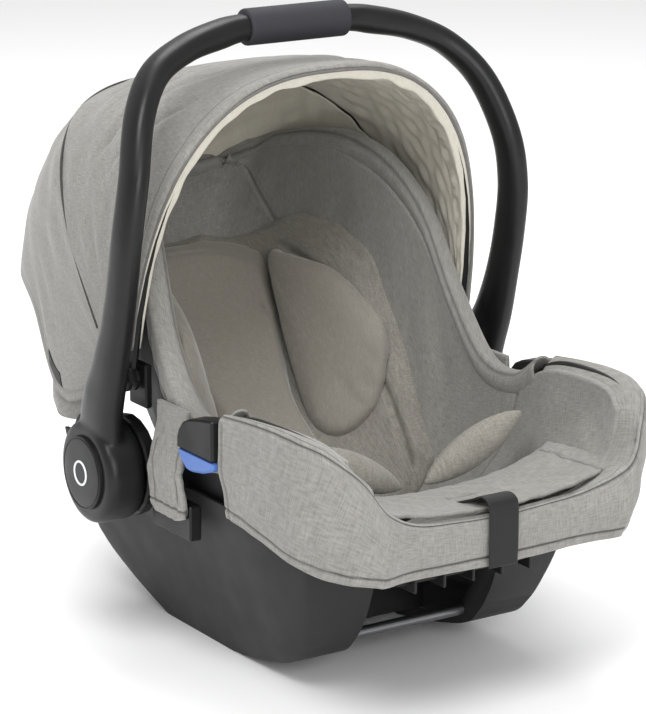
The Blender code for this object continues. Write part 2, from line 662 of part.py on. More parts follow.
def carrying_handle(group, cutters):
    """One moulding: the bail with a hub on each end, bored for the pivot pins."""
    bail = loft("handle_bail", handle_rings(), black_plastic(), group)
    for word, side in SIDES:
        hub = place(bar("hub_" + word, HUB_R, HUB_OUTER_X - HUB_INNER_X, black_plastic(), cutters, 28),
                    side * (HUB_OUTER_X + HUB_INNER_X) / 2, PIVOT_Y, PIVOT_Z)
        rounded = hub.modifiers.new("rounded_edges", "BEVEL")
        rounded.width = 0.007
        rounded.segments = 2
        rounded.limit_method = "ANGLE"
        cut(bail, hub, "UNION")
    for word, side in SIDES:
        clear = place(bar("inside_clear_" + word, 0.10, 0.040, black_plastic(), cutters, 24),
                      side * (HUB_INNER_X - 0.020), PIVOT_Y, PIVOT_Z)
        cut(bail, clear)
        well = place(bar("cap_well_" + word, HUB_CAP_R + 2 * GAP, 0.020, black_plastic(), cutters, 28),
                     side * 0.2250, PIVOT_Y, PIVOT_Z)
        cut(bail, well)
        hole = place(bar("pin_hole_" + word, BORE_R, 0.060, black_plastic(), cutters, 16),
                     side * 0.200, PIVOT_Y, PIVOT_Z)
        cut(bail, hole)
    grip_line = np.array(HANDLE_LINE)[-1]
    turn = np.linspace(0, math.tau, 20, endpoint=False)
    inner = 0.0148
    rings = []
    for x, radius in ((-GRIP_HALF, inner), (-GRIP_HALF, GRIP_R - 0.001), (-GRIP_HALF + 0.002, GRIP_R),
                      (GRIP_HALF - 0.002, GRIP_R), (GRIP_HALF, GRIP_R - 0.001), (GRIP_HALF, inner)):
        rings.append(np.stack([np.full(turn.shape, x), grip_line[1] + radius * np.cos(turn),
                               grip_line[2] + radius * np.sin(turn)], axis=1))
    ring_tube("handle_grip", rings, slate_plastic(), group)


def ring_tube(name, rings, finish, group):
    """Closed sleeve: rings run out along the outside and join back through the bore."""
    rings = np.asarray(rings, float)
    count, size = rings.shape[:2]
    faces = []
    for i in range(count):
        for j in range(size):
            k, n = (j + 1) % size, (i + 1) % count
            faces.append((i * size + j, n * size + j, n * size + k, i * size + k))
    mesh = mesh_from(name, rings.reshape(-1, 3), faces)
    face_out(mesh)
    smooth(mesh)
    return add_object(name, mesh, finish, group)


def hub_fittings(group):
    """Pivot pins, hub caps and the release buttons on the rear of each hub."""
    for word, side in SIDES:
        place(bar("pivot_pin_" + word, PIN_R, 0.0460, steel(), group, 16), side * 0.1920, PIVOT_Y, PIVOT_Z)
        cap = place(bar("hub_cap_" + word, HUB_CAP_R, 0.0045, black_plastic(), group, 28),
                    side * (HUB_CAP_X - 0.00225), PIVOT_Y, PIVOT_Z)
        rounded = cap.modifiers.new("rounded_edges", "BEVEL")
        rounded.width = 0.0012
        rounded.segments = 1
        rounded.limit_method = "ANGLE"
        arc = np.radians(np.linspace(4.0, 52.0, 6))
        inner, outer = HUB_R + 0.0045, HUB_R + 0.0125
        outline = [(PIVOT_Y + outer * math.cos(a), PIVOT_Z + outer * math.sin(a)) for a in arc]
        outline += [(PIVOT_Y + inner * math.cos(a), PIVOT_Z + inner * math.sin(a)) for a in arc[::-1]]
        near, far = sorted((side * 0.1815, side * 0.2010))
        plate("handle_button_" + word, outline, near, far, slate_plastic(), group)


# ---- the canopy ------------------------------------------------------------------------------
def hood_reach(lean):
    """Distance from the bows' axis to the circle that the canopy may fill, at a lean in degrees."""
    d = np.array((math.sin(math.radians(lean)), math.cos(math.radians(lean))))
    offset = np.array((HOOD_Y - PIVOT_Y, HOOD_Z - PIVOT_Z))
    along = float(offset @ d)
    return -along + math.sqrt(along ** 2 - float(offset @ offset) + HOOD_REACH ** 2)


def hood_arch(lean, half_width, reach, power, spread, count, ends=0.0):
    """Arch over the seat in a plane that leans back from upright by lean degrees."""
    turn = np.linspace(math.radians(ends), math.pi - math.radians(ends), count)
    across = np.sign(np.cos(turn)) * np.abs(np.cos(turn)) ** (2 / power) * (half_width + spread)
    up = np.abs(np.sin(turn)) ** (2 / power) * (reach + spread)
    d = (math.sin(math.radians(lean)), math.cos(math.radians(lean)))
    return np.stack([across, HOOD_Y + up * d[0], HOOD_Z + up * d[1]], axis=1)


def canopy_bow(name, shape, thick, boss_x, group, cutters):
    """Round rod arched over the seat, flattened to an eye at each end."""
    reach = hood_reach(shape["lean"])
    start = math.degrees(math.asin((BOW_START / reach) ** (shape["power"] / 2)))
    middle = hood_arch(shape["lean"], boss_x, reach, shape["power"], 0.0, 25, start)
    along = np.gradient(middle, axis=0)
    along /= np.linalg.norm(along, axis=1, keepdims=True)
    lean = math.radians(shape["lean"])
    side = np.array((0.0, math.cos(lean), -math.sin(lean)))
    turn = np.linspace(0, math.tau, 6, endpoint=False)
    rings = [p + thick * (np.cos(turn)[:, None] * side + np.sin(turn)[:, None] * np.cross(a, side))
             for p, a in zip(middle, along)]
    bow = loft(name, rings, black_plastic(), group)
    for word, hand in SIDES:
        eye = place(bar(name + "_eye_" + word, 0.011, 0.0030, black_plastic(), cutters, 16),
                    hand * boss_x, HOOD_Y, HOOD_Z)
        cut(bow, eye, "UNION")
    return bow


def canopy(group, cutters):
    """Two bows on one axis and the fabric panels stretched over them."""
    canopy_bow("canopy_front_bow", FRONT_BOW, BOW_R, 0.1765, group, cutters)
    canopy_bow("canopy_rear_bow", REAR_BOW, BOW_R, 0.1840, group, cutters)
    for word, side in SIDES:
        place(bar("canopy_pin_" + word, 0.0040, 0.0030, steel(), group, 12), side * 0.1870, HOOD_Y, HOOD_Z)

    def panel(name, first, last, first_reach, last_reach, sag, rows, pull, inset):
        share = np.linspace(inset[0], inset[1], rows)
        sheets = []
        for spread in (HOOD_INSIDE, HOOD_OUTSIDE):
            sheet = []
            for t in share:
                lean = first["lean"] + (last["lean"] - first["lean"]) * t
                reach = hood_reach(lean) - sag * 4 * t * (1 - t)
                reach += (last_reach - hood_reach(last["lean"])) * t ** pull
                reach += (first_reach - hood_reach(first["lean"])) * (1 - t)
                width = first["half_width"] + (last["half_width"] - first["half_width"]) * t
                power = first["power"] + (last["power"] - first["power"]) * t
                sheet.append(hood_arch(lean, width, reach, power, spread, 21, 7.0))
            sheets.append(sheet)
        return slab_between(name, sheets[0], sheets[1], grey_fabric(), group)

    front, rear = hood_reach(FRONT_BOW["lean"]), hood_reach(REAR_BOW["lean"])
    panel("canopy_front_panel", FRONT_BOW, REAR_BOW, front, rear, 0.006, 7, 2, (-0.02, 0.98))
    panel("canopy_rear_panel", REAR_BOW, HOOD_HEM, rear, HOOD_HEM["reach"], 0.0, 7, 2, (0.0, 1.0))


# ---- build -----------------------------------------------------------------------------------
def main():
    clear_scene()
    group = new_collection("infant_car_seat")
    cutters = new_collection("cutters")
    seat_shell(group)
    side_panels(group)
    latch_bars(group)
    under_latch(group, cutters)
    rear_release(group, cutters)
    belt_guides(group)
    adaptor_sockets(group, cutters)
    hub_bases(group)
    canopy_brackets(group)
    soft_cover(group)
    head_cover(group)
    thigh_wings(group)
    foot_cover(group)
    side_flaps(group)
    harness(group, cutters)
    carrying_handle(group, cutters)
    hub_fittings(group)
    canopy(group, cutters)


main()
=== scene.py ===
"""Looks of the infant car seat: moulded shell, woven covers, sewn pads, folding canopy and handle.

Metres, +Z up, +Y towards the head end, +X to the right as seen from the foot end. Each new piece
is a surface worked out on a grid of two parameters, or a ring carried along a line.
"""
import math

import bpy
import numpy as np
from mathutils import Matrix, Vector


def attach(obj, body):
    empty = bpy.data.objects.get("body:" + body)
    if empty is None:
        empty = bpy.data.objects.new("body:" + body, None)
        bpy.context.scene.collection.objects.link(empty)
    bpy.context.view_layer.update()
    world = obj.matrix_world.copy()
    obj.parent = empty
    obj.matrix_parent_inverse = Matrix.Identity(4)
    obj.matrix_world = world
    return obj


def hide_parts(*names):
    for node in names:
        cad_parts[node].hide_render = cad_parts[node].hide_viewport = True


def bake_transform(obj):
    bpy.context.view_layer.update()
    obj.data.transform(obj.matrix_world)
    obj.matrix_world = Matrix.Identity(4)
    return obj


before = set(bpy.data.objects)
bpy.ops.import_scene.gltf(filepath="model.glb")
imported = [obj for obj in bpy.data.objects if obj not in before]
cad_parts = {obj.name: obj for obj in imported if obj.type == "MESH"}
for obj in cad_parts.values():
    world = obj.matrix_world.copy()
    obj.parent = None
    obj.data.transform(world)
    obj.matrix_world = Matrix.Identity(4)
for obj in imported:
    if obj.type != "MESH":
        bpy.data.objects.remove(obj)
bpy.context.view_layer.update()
MM = 0.001
SIDES = (("left", -1.0), ("right", 1.0))

# ---- the frame's dimensions that the looks follow -------------------------------------------
PIVOT_Y, PIVOT_Z = 0.0175, 0.166
HUB_R, HUB_INNER_X, HUB_OUTER_X = 0.047, 0.180, 0.2185
HOOD_Y, HOOD_Z, HOOD_REACH = 0.0025, 0.250, 0.351
FRONT_BOW = {"lean": -10.2, "half_width": 0.1768, "power": 2.6}
REAR_BOW = {"lean": 39.0, "half_width": 0.1855, "power": 3.4}
HOOD_HEM = {"lean": 81.0, "half_width": 0.178, "power": 3.2, "reach": 0.3225, "dip": 34.0}
CLOTH_GAP = 0.0062                            # canopy cloth over the bows' line
LINING_GAP = -0.0052                          # lining under it
SHELL_WALL = 0.004
COVER_HIGH, BACK_PAD_HIGH, INSERT_HIGH, INSERT_LOW = 0.012, 0.024, 0.046, 0.030
PANEL_WALL, RUNNER_INNER_X, PANEL_FOOT_X, PANEL_FLARE = 0.004, 0.066, 0.115, 0.297
NOSE_START_Y, NOSE_TURN = -0.150, 0.0150      # the wall turns in this much towards the front tip

# Shell sections from head to foot: middle of the floor (y, z), then the right-hand rim (x, y, z).
SHELL_SECTIONS = np.array([
    (0.286, 0.370, 0.086, 0.272, 0.381), (0.292, 0.332, 0.112, 0.240, 0.394),
    (0.268, 0.282, 0.120, 0.198, 0.404), (0.224, 0.234, 0.124, 0.150, 0.412),
    (0.164, 0.182, 0.128, 0.098, 0.412), (0.100, 0.130, 0.138, 0.052, 0.394),
    (0.040, 0.092, 0.150, 0.014, 0.352), (-0.020, 0.070, 0.157, -0.022, 0.286),
    (-0.075, 0.076, 0.159, -0.070, 0.232), (-0.130, 0.098, 0.160, -0.120, 0.226),
    (-0.185, 0.118, 0.162, -0.162, 0.252), (-0.235, 0.138, 0.162, -0.215, 0.258),
    (-0.275, 0.154, 0.158, -0.262, 0.256), (-0.297, 0.163, 0.148, -0.290, 0.244),
])

# Middle line of the handle from the right hub to the top: x, y, z, half thickness, half depth.
HANDLE_LINE = np.array([
    (0.2030, 0.0150, 0.170, 0.0110, 0.0300), (0.2060, 0.0060, 0.222, 0.0125, 0.0270),
    (0.2070, -0.0110, 0.263, 0.0120, 0.0220), (0.2065, -0.0245, 0.303, 0.0112, 0.0185),
    (0.2060, -0.0350, 0.347, 0.0110, 0.0175), (0.2040, -0.0415, 0.392, 0.0110, 0.0170),
    (0.1960, -0.0400, 0.438, 0.0110, 0.0165), (0.1800, -0.0230, 0.487, 0.0112, 0.0160),
    (0.1540, -0.0045, 0.519, 0.0115, 0.0155), (0.1180, 0.0055, 0.5365, 0.0120, 0.0150),
    (0.0800, 0.0112, 0.5452, 0.0130, 0.0145), (0.0540, 0.0133, 0.5487, 0.0122, 0.0130),
    (0.0000, 0.0135, 0.5490, 0.0122, 0.0130),
])

# Lower edge of a side panel from the front tip to the rear (y, z); the level middle is the foot.
PANEL_EDGE = np.array([
    (-0.2240, 0.1290), (-0.2190, 0.1100), (-0.2120, 0.0880), (-0.2030, 0.0660), (-0.1880, 0.0430),
    (-0.1650, 0.0240), (-0.1035, 0.0075), (-0.0650, 0.0012), (-0.0500, 0.0), (0.0500, 0.0),
    (0.0640, 0.0030), (0.0900, 0.0150), (0.1120, 0.0267), (0.1400, 0.0460), (0.1500, 0.0620),
    (0.1550, 0.1000),
])

# Foot-end cover from its right rear edge to the middle of the front: outer x, y, hem and top
# heights, how far the hem tucks in, then the place on the seat (section, share of the width)
# where its roll ends.
FOOT_COVER = np.array([
    (0.181, -0.1500, 0.162, 0.262, 0.006, 9.70, 0.93), (0.182, -0.1900, 0.155, 0.266, 0.010, 10.50, 0.93),
    (0.182, -0.2300, 0.147, 0.268, 0.013, 11.30, 0.93), (0.179, -0.2640, 0.142, 0.266, 0.015, 12.05, 0.93),
    (0.167, -0.2930, 0.139, 0.260, 0.015, 12.70, 0.93), (0.147, -0.3150, 0.138, 0.242, 0.013, 12.85, 0.83),
    (0.125, -0.3277, 0.137, 0.212, 0.013, 12.85, 0.60), (0.088, -0.3150, 0.136, 0.195, 0.004, 12.85, 0.34),
    (0.045, -0.3093, 0.134, 0.190, 0.001, 12.85, 0.14), (0.000, -0.3082, 0.133, 0.188, 0.001, 12.85, 0.0),
])

# Right-hand edges of the pads on the seat: place from head to foot, share of the width.
BACK_PAD_EDGE = np.array([(1.75, 0.20), (2.1, 0.45), (2.6, 0.66), (3.1, 0.77), (4.0, 0.83), (4.8, 0.84),
                          (5.4, 0.80), (6.4, 0.72), (7.4, 0.60)])
INSERT_EDGE = np.array([(1.9, 0.18), (2.3, 0.42), (2.7, 0.54), (3.2, 0.58), (3.7, 0.53), (4.25, 0.41),
                        (5.0, 0.25), (6.6, 0.23)])
WING_INNER = np.array([(3.3, 0.61), (3.7, 0.55), (4.25, 0.43), (4.62, 0.345), (5.0, 0.27), (5.3, 0.25),
                       (5.66, 0.34), (6.0, 0.56)])
WING_OUTER = np.array([(3.3, 0.65), (3.98, 0.72), (4.5, 0.755), (5.05, 0.765), (5.55, 0.77), (5.88, 0.74),
                       (6.0, 0.66)])

# Wall round the head end from its right front edge to the middle of the back: lower edge
# x, y, z, then the place on the shell (section, share of the width) that it hangs from.
HEAD_COVER = np.array([
    (0.153, 0.064, 0.215, 5.2, 0.97), (0.153, 0.100, 0.190, 4.0, 0.97), (0.151, 0.156, 0.170, 3.1, 0.96),
    (0.145, 0.205, 0.165, 2.4, 0.93), (0.125, 0.248, 0.178, 1.9, 0.84), (0.090, 0.275, 0.215, 1.5, 0.62),
    (0.045, 0.290, 0.255, 1.3, 0.32), (0.000, 0.295, 0.270, 1.2, 0.0),
])

# Side flap by level: height, front y, rear y and how far out its inner face lies.
SIDE_FLAP = np.array([
    (0.2385, -0.0835, -0.0330, 0.1668), (0.2150, -0.0845, -0.0335, 0.1690),
    (0.1980, -0.0860, -0.0345, 0.1745), (0.1820, -0.0910, -0.0360, 0.1797),
    (0.1650, -0.0965, -0.0385, 0.1797), (0.1500, -0.0965, -0.0400, 0.1797),
    (0.1430, -0.0950, -0.0420, 0.1797),
])

# Route of the harness adjuster strap over the foot end (y, z).
STRAP_LINE = np.array([
    (-0.2345, 0.1690), (-0.2600, 0.1770), (-0.2840, 0.1865), (-0.2970, 0.1920),
    (-0.3070, 0.1908), (-0.3111, 0.1830), (-0.3115, 0.1500), (-0.3108, 0.1330),
])


# ---- grids and meshes -----------------------------------------------------------------------
def unit(v):
    """Vectors of length 1 along the last axis."""
    return v / np.maximum(np.linalg.norm(v, axis=-1, keepdims=True), 1e-12)


def through(rows, where):
    """Catmull-Rom curve through the rows, read at places counted in rows."""
    rows = np.asarray(rows, float)
    padded = np.vstack([2 * rows[0] - rows[1], rows, 2 * rows[-1] - rows[-2]])
    k = np.clip(np.floor(where).astype(int), 0, len(rows) - 2)
    t = (np.asarray(where, float) - k)[..., None]
    a, b, c, d = (padded[k + i] for i in range(4))
    return 0.5 * (2 * b + (c - a) * t + (2 * a - 5 * b + 4 * c - d) * t * t
                  + (3 * b - a - 3 * c + d) * t ** 3)


def smooth_line(rows, count):
    """Curve through the rows, read at count places an equal length apart."""
    fine = through(rows, np.linspace(0, len(rows) - 1, 40 * len(rows)))
    run = run_along(fine[:, :3])
    want = np.linspace(0, run[-1], count)
    return np.stack([np.interp(want, run, fine[:, k]) for k in range(fine.shape[1])], axis=1)


def normals_of(points, closed=False):
    """Unit normals of a grid, from the cross product of its two directions."""
    down = np.gradient(points, axis=0)
    if closed:
        across = (np.roll(points, -1, axis=1) - np.roll(points, 1, axis=1)) / 2
    else:
        across = np.gradient(points, axis=1)
    return unit(np.cross(down, across))


def run_lengths(points):
    """Metres run along each row of a grid from its middle, and down its middle column."""
    step = np.linalg.norm(np.diff(points, axis=1), axis=2)
    across = np.concatenate([np.zeros((len(points), 1)), np.cumsum(step, axis=1)], axis=1)
    middle = points.shape[1] // 2
    across -= across[:, middle:middle + 1]
    down = run_along(points[:, middle])
    return np.stack([across, np.repeat(down[:, None], points.shape[1], axis=1)], axis=-1)


def squared_off(turn, power):
    """Cosine and sine of a turn, each raised to a power with its sign kept: a rounded oblong."""
    wave = np.stack([np.cos(turn), np.sin(turn)])
    across, up = np.sign(wave) * np.abs(wave) ** power
    return across, up


def around(count):
    """Angles of one full turn, in count equal steps."""
    return np.linspace(0, math.tau, count, endpoint=False)


def run_along(line):
    """Metres run along a line of points, from its start."""
    return np.r_[0, np.cumsum(np.linalg.norm(np.diff(line, axis=0), axis=1))]


def quads(rows, columns, closed=False, shift=0, turned=False):
    """Corner numbers of the quads of a grid, with the columns joined round where closed."""
    at = np.arange(rows * columns).reshape(rows, columns) + shift
    if closed:
        at = np.concatenate([at, at[:, :1]], axis=1)
    faces = np.stack([at[:-1, :-1], at[1:, :-1], at[1:, 1:], at[:-1, 1:]], axis=-1).reshape(-1, 4)
    return faces[:, ::-1] if turned else faces


def mesh_object(name, points, faces, finish, cloth=None, marks=None):
    """Object from points and a list of faces, with a cloth UV map in metres and a mark per point."""
    mesh = bpy.data.meshes.new(name)
    mesh.from_pydata(np.asarray(points, float).reshape(-1, 3).tolist(), [],
                     [[int(c) for c in f] for f in faces])
    corners = np.zeros(len(mesh.loops), np.int32)
    mesh.loops.foreach_get("vertex_index", corners)
    if cloth is not None:
        layer = mesh.uv_layers.new(name="cloth")
        flat = np.asarray(cloth).reshape(-1, 2)[corners]
        layer.data.foreach_set("uv", flat.astype(np.float32).ravel())
    if marks is not None:
        line = mesh.attributes.new("seam", "FLOAT", "POINT")
        line.data.foreach_set("value", np.asarray(marks, np.float32).ravel())
    mesh.shade_smooth()
    made = bpy.data.objects.new(name, mesh)
    made.data.materials.append(finish)
    bpy.context.scene.collection.objects.link(made)
    return made


def sheet_body(name, face, finish, thick, marks=None):
    """Closed sheet: the grid is one face, and the other lies thick behind it, against the normals."""
    rows, columns = face.shape[:2]
    thick = np.broadcast_to(np.asarray(thick, float), (rows, columns))
    back = face - normals_of(face) * thick[..., None]
    count = rows * columns
    front = quads(rows, columns)
    rear = quads(rows, columns, shift=count, turned=True)
    at = np.arange(count).reshape(rows, columns)
    ring = np.r_[at[0, :], at[1:, -1], at[-1, -2::-1], at[-2:0:-1, 0]]
    after = np.roll(ring, -1)
    rim = np.stack([ring, after, after + count, ring + count], axis=1)
    flat = run_lengths(face).reshape(-1, 2)
    marks = np.zeros(count) if marks is None else marks.ravel()
    made = mesh_object(name, np.concatenate([face.reshape(-1, 3), back.reshape(-1, 3)]),
                       np.concatenate([front, rear, rim]), finish,
                       np.concatenate([flat, flat]), np.concatenate([marks, marks]))
    return outwards(made)


def ring_body(name, rings, finish, cloth=None):
    """Closed body through rings of equal size, with a flat cap on each end."""
    rows, columns = rings.shape[:2]
    faces = [list(f) for f in quads(rows, columns, closed=True)]
    faces.append(list(range(columns)))
    faces.append(list(range(rows * columns - 1, (rows - 1) * columns - 1, -1)))
    return outwards(mesh_object(name, rings, faces, finish, run_lengths(rings) if cloth is None else cloth))


def outwards(made):
    """Turn every face of a closed body outwards, by the sign of its volume."""
    mesh = made.data
    count = len(mesh.vertices)
    co = np.zeros(count * 3)
    mesh.vertices.foreach_get("co", co)
    co = co.reshape(-1, 3)
    mesh.calc_loop_triangles()
    tri = np.zeros(len(mesh.loop_triangles) * 3, np.int32)
    mesh.loop_triangles.foreach_get("vertices", tri)
    a, b, c = (co[tri.reshape(-1, 3)[:, k]] for k in range(3))
    if float(np.sum(np.cross(a, b) * c)) < 0:
        mesh.flip_normals()
    return made


def tube(name, line, radius, finish, sides=8, closed=False):
    """Round cord of a radius carried along a line of points."""
    line = np.asarray(line, float)
    if closed:
        along = unit(np.roll(line, -1, axis=0) - np.roll(line, 1, axis=0))
    else:
        along = unit(np.gradient(line, axis=0))
    spare = np.where(np.abs(along[:, :1]) < 0.8, (1.0, 0.0, 0.0), (0.0, 1.0, 0.0))
    first = unit(np.cross(along, spare))
    second = np.cross(along, first)
    turn = around(sides)[None, :, None]
    radius = np.broadcast_to(np.asarray(radius, float), (len(line),))
    ring = np.cos(turn) * first[:, None] + np.sin(turn) * second[:, None]
    rings = line[:, None] + radius[:, None, None] * ring
    if closed:
        rings = np.concatenate([rings, rings[:1]])
    return ring_body(name, rings, finish)


def strap_body(name, line, half_width, thick, finish):
    """Flat strap with rounded edges along a line, as wide as the X axis runs."""
    wide = np.array((1.0, 0.0, 0.0))
    along = unit(np.gradient(line, axis=0))
    across = unit(wide - along * (along @ wide)[:, None])
    up = np.cross(along, across)
    turn = around(28)
    w = squared_off(turn, 0.22)[0] * half_width
    h = squared_off(turn, 0.6)[1] * thick / 2
    rings = line[:, None] + w[None, :, None] * across[:, None] + h[None, :, None] * up[:, None]
    flat = np.stack(np.broadcast_arrays(w[None], run_along(line)[:, None]), axis=-1)
    return ring_body(name, rings, finish, flat)


def block_body(name, middle, size, finish, rounding):
    """Box with each edge rounded in three steps."""
    corners = np.array([(x, y, z) for x in (-1, 1) for y in (-1, 1) for z in (-1, 1)]) * 0.5
    faces = [(0, 1, 3, 2), (4, 6, 7, 5), (0, 4, 5, 1), (2, 3, 7, 6), (0, 2, 6, 4), (1, 5, 7, 3)]
    made = mesh_object(name, corners * np.array(size) + np.array(middle), faces, finish)
    bevel = made.modifiers.new("rounded_edges", "BEVEL")
    bevel.width = rounding
    bevel.segments = 3
    made.data.set_sharp_from_angle(angle=math.radians(35))
    return outwards(made)


def settled(made):
    """The same object with its modifiers applied to its mesh."""
    bpy.context.view_layer.update()
    done = bpy.data.meshes.new_from_object(made.evaluated_get(bpy.context.evaluated_depsgraph_get()))
    made.modifiers.clear()
    made.data = done
    return made


def on_body(made, body, slot, *nodes):
    """Ride a piece on its body and hide the frame nodes that it stands for; slot is not used."""
    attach(made, body)
    if nodes:
        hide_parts(*nodes)
    return made


# ---- materials ------------------------------------------------------------------------------
def linear(text):
    """Linear red, green, blue and 1 from an sRGB hex colour."""
    parts = [int(text[k:k + 2], 16) / 255 for k in (1, 3, 5)]
    return tuple(p / 12.92 if p <= 0.04045 else ((p + 0.055) / 1.055) ** 2.4 for p in parts) + (1.0,)


def add_node(tree, kind, inputs=None, **settings):
    """Node with its settings, and its inputs either linked to a socket or set to a value."""
    made = tree.nodes.new(kind)
    for key, value in settings.items():
        setattr(made, key, value)
    for key, value in (inputs or {}).items():
        if isinstance(value, bpy.types.NodeSocket):
            tree.links.new(value, made.inputs[key])
        else:
            made.inputs[key].default_value = value
    return made


def new_material(name, **shader_values):
    """Material, its node tree and its shader, with values set on the shader's own sockets."""
    made = bpy.data.materials.new(name)
    made.use_nodes = True
    shader = made.node_tree.nodes["Principled BSDF"]
    for key, value in shader_values.items():
        shader.inputs[key.replace("_", " ").title().replace("Ior", "IOR")].default_value = value
    return made, made.node_tree, shader


def mix_colour(tree, share, first, second):
    """Colour between two others; 6, 7 and 2 are the Mix node's colour sockets."""
    return add_node(tree, "ShaderNodeMix", {0: share, 6: first, 7: second}, data_type="RGBA").outputs[2]


def paler(colour, times):
    """Linear colour made brighter, or darker, by a factor, and no brighter than white."""
    return tuple(min(1.0, c * times) for c in linear(colour)[:3]) + (1.0,)


def woven(name, light, dark, streak, slub_mm, coordinate, relief=0.25, sheen=0.25):
    """Woven or knitted cloth: streaks of paler and darker yarn run both ways over a fine weave.

    A real thread is about 0.3 mm, too fine to show, so slub_mm draws the streaks up to 4 times wider.
    """
    made, tree, shader = new_material(name, Roughness=0.9, Sheen_Weight=sheen, Sheen_Roughness=0.45)
    shader.inputs["Specular IOR Level"].default_value = 0.22
    if coordinate == "cloth":
        where = add_node(tree, "ShaderNodeUVMap", uv_map="cloth").outputs[0]
    else:
        where = add_node(tree, "ShaderNodeTexCoord").outputs["Object"]
    yarn, length = 1 / (slub_mm * MM), 1 / (slub_mm * 9 * MM)
    sums = []
    for scale in ((yarn, length, length), (length, yarn, yarn)):
        spread = add_node(tree, "ShaderNodeMapping", {"Vector": where, "Scale": scale})
        sums.append(add_node(tree, "ShaderNodeTexNoise", {"Vector": spread.outputs[0], "Scale": 1.0,
                                                          "Detail": 2.0}).outputs[0])
    both = add_node(tree, "ShaderNodeMath", {0: sums[0], 1: sums[1]}, operation="ADD").outputs[0]
    yarns = add_node(tree, "ShaderNodeMapRange", {"Value": both, "From Min": 0.75, "From Max": 1.25,
                                                  "To Min": 0.0, "To Max": 1.0}).outputs[0]
    cloud = add_node(tree, "ShaderNodeTexNoise", {"Vector": where, "Scale": 22.0, "Detail": 2.0}).outputs[0]
    tone = mix_colour(tree, yarns, linear(dark), linear(light))
    patch = add_node(tree, "ShaderNodeMapRange", {"Value": cloud, "From Min": 0.35, "From Max": 0.7,
                                                  "To Min": 0.0, "To Max": streak}).outputs[0]
    tone = mix_colour(tree, patch, tone, linear(dark))
    seam = add_node(tree, "ShaderNodeAttribute", attribute_name="seam").outputs["Fac"]
    tone = mix_colour(tree, seam, tone, linear("#2b2a28"))
    tree.links.new(tone, shader.inputs["Base Color"])
    bump = add_node(tree, "ShaderNodeBump", {"Height": both, "Strength": relief, "Distance": 0.6 * MM})
    tree.links.new(bump.outputs[0], shader.inputs["Normal"])
    return made


def moulded(name, colour, rough, grain_mm, relief, shine=0.5):
    """Moulded plastic: one colour with a fine etched grain and slightly uneven gloss."""
    made, tree, shader = new_material(name, Roughness=rough)
    shader.inputs["Specular IOR Level"].default_value = shine
    where = add_node(tree, "ShaderNodeTexCoord").outputs["Object"]
    grain = add_node(tree, "ShaderNodeTexNoise", {"Vector": where, "Scale": 1 / (grain_mm * MM),
                                                  "Detail": 3.0}).outputs[0]
    wear = add_node(tree, "ShaderNodeTexNoise", {"Vector": where, "Scale": 35.0, "Detail": 4.0}).outputs[0]
    gloss = add_node(tree, "ShaderNodeMapRange", {"Value": wear, "From Min": 0.3, "From Max": 0.7,
                                                  "To Min": rough - 0.05, "To Max": rough + 0.07}).outputs[0]
    tree.links.new(gloss, shader.inputs["Roughness"])
    tone = mix_colour(tree, wear, linear(colour), paler(colour, 1.22))
    tree.links.new(tone, shader.inputs["Base Color"])
    bump = add_node(tree, "ShaderNodeBump", {"Height": grain, "Strength": relief, "Distance": 0.3 * MM})
    tree.links.new(bump.outputs[0], shader.inputs["Normal"])
    return made


def webbing(name, colour, rib_mm):
    """Woven polyester strap: ribs across it and rows of yarn along it."""
    made, tree, shader = new_material(name, Roughness=0.55, Sheen_Weight=0.12, Sheen_Roughness=0.4)
    shader.inputs["Specular IOR Level"].default_value = 0.3
    where = add_node(tree, "ShaderNodeUVMap", uv_map="cloth").outputs[0]
    ribs = add_node(tree, "ShaderNodeTexWave", {"Vector": where, "Scale": 0.5 / (rib_mm * MM),
                                                "Distortion": 0.6, "Detail": 1.0},
                    bands_direction="Y").outputs[1]
    yarn = add_node(tree, "ShaderNodeTexWave", {"Vector": where, "Scale": 0.5 / (rib_mm * 1.8 * MM),
                                                "Distortion": 0.4}, bands_direction="X").outputs[1]
    both = add_node(tree, "ShaderNodeMath", {0: ribs, 1: yarn}, operation="MULTIPLY").outputs[0]
    tone = mix_colour(tree, both, linear(colour), paler(colour, 1.9))
    tree.links.new(tone, shader.inputs["Base Color"])
    bump = add_node(tree, "ShaderNodeBump", {"Height": both, "Strength": 0.5, "Distance": 0.4 * MM})
    tree.links.new(bump.outputs[0], shader.inputs["Normal"])
    return made


def plated_steel(name, colour, rough):
    """Zinc-plated steel: a metal with faint drawing lines and a dull, uneven shine."""
    made, tree, shader = new_material(name, Metallic=1.0, Roughness=rough)
    where = add_node(tree, "ShaderNodeTexCoord").outputs["Object"]
    lines = add_node(tree, "ShaderNodeMapping", {"Vector": where,
                                                 "Scale": (30.0, 1500.0, 1500.0)}).outputs[0]
    drawn = add_node(tree, "ShaderNodeTexNoise", {"Vector": lines, "Scale": 1.0, "Detail": 2.0}).outputs[0]
    gloss = add_node(tree, "ShaderNodeMapRange", {"Value": drawn, "To Min": rough - 0.08,
                                                  "To Max": rough + 0.12}).outputs[0]
    tree.links.new(gloss, shader.inputs["Roughness"])
    tone = mix_colour(tree, drawn, linear(colour), paler(colour, 0.75))
    tree.links.new(tone, shader.inputs["Base Color"])
    return made


# Polyester melange weave of the covers and canopy: pale grey yarn with darker flecks both ways.
COVER_CLOTH = woven("polyester_melange_weave", "#979590", "#7b7975", 0.35, 1.1, "cloth", 0.35)
# The same weave on the sewn pads, whose yarn runs with the seat instead of a cut piece, made a little darker
# than the cover as painted shade for the shaded seat back.
PAD_WEAVE_DARKENED_FOR_SHADE = woven("polyester_melange_weave_on_pads_painted_shade", "#949189", "#7a7770", 0.35, 1.1, "object", 0.35)
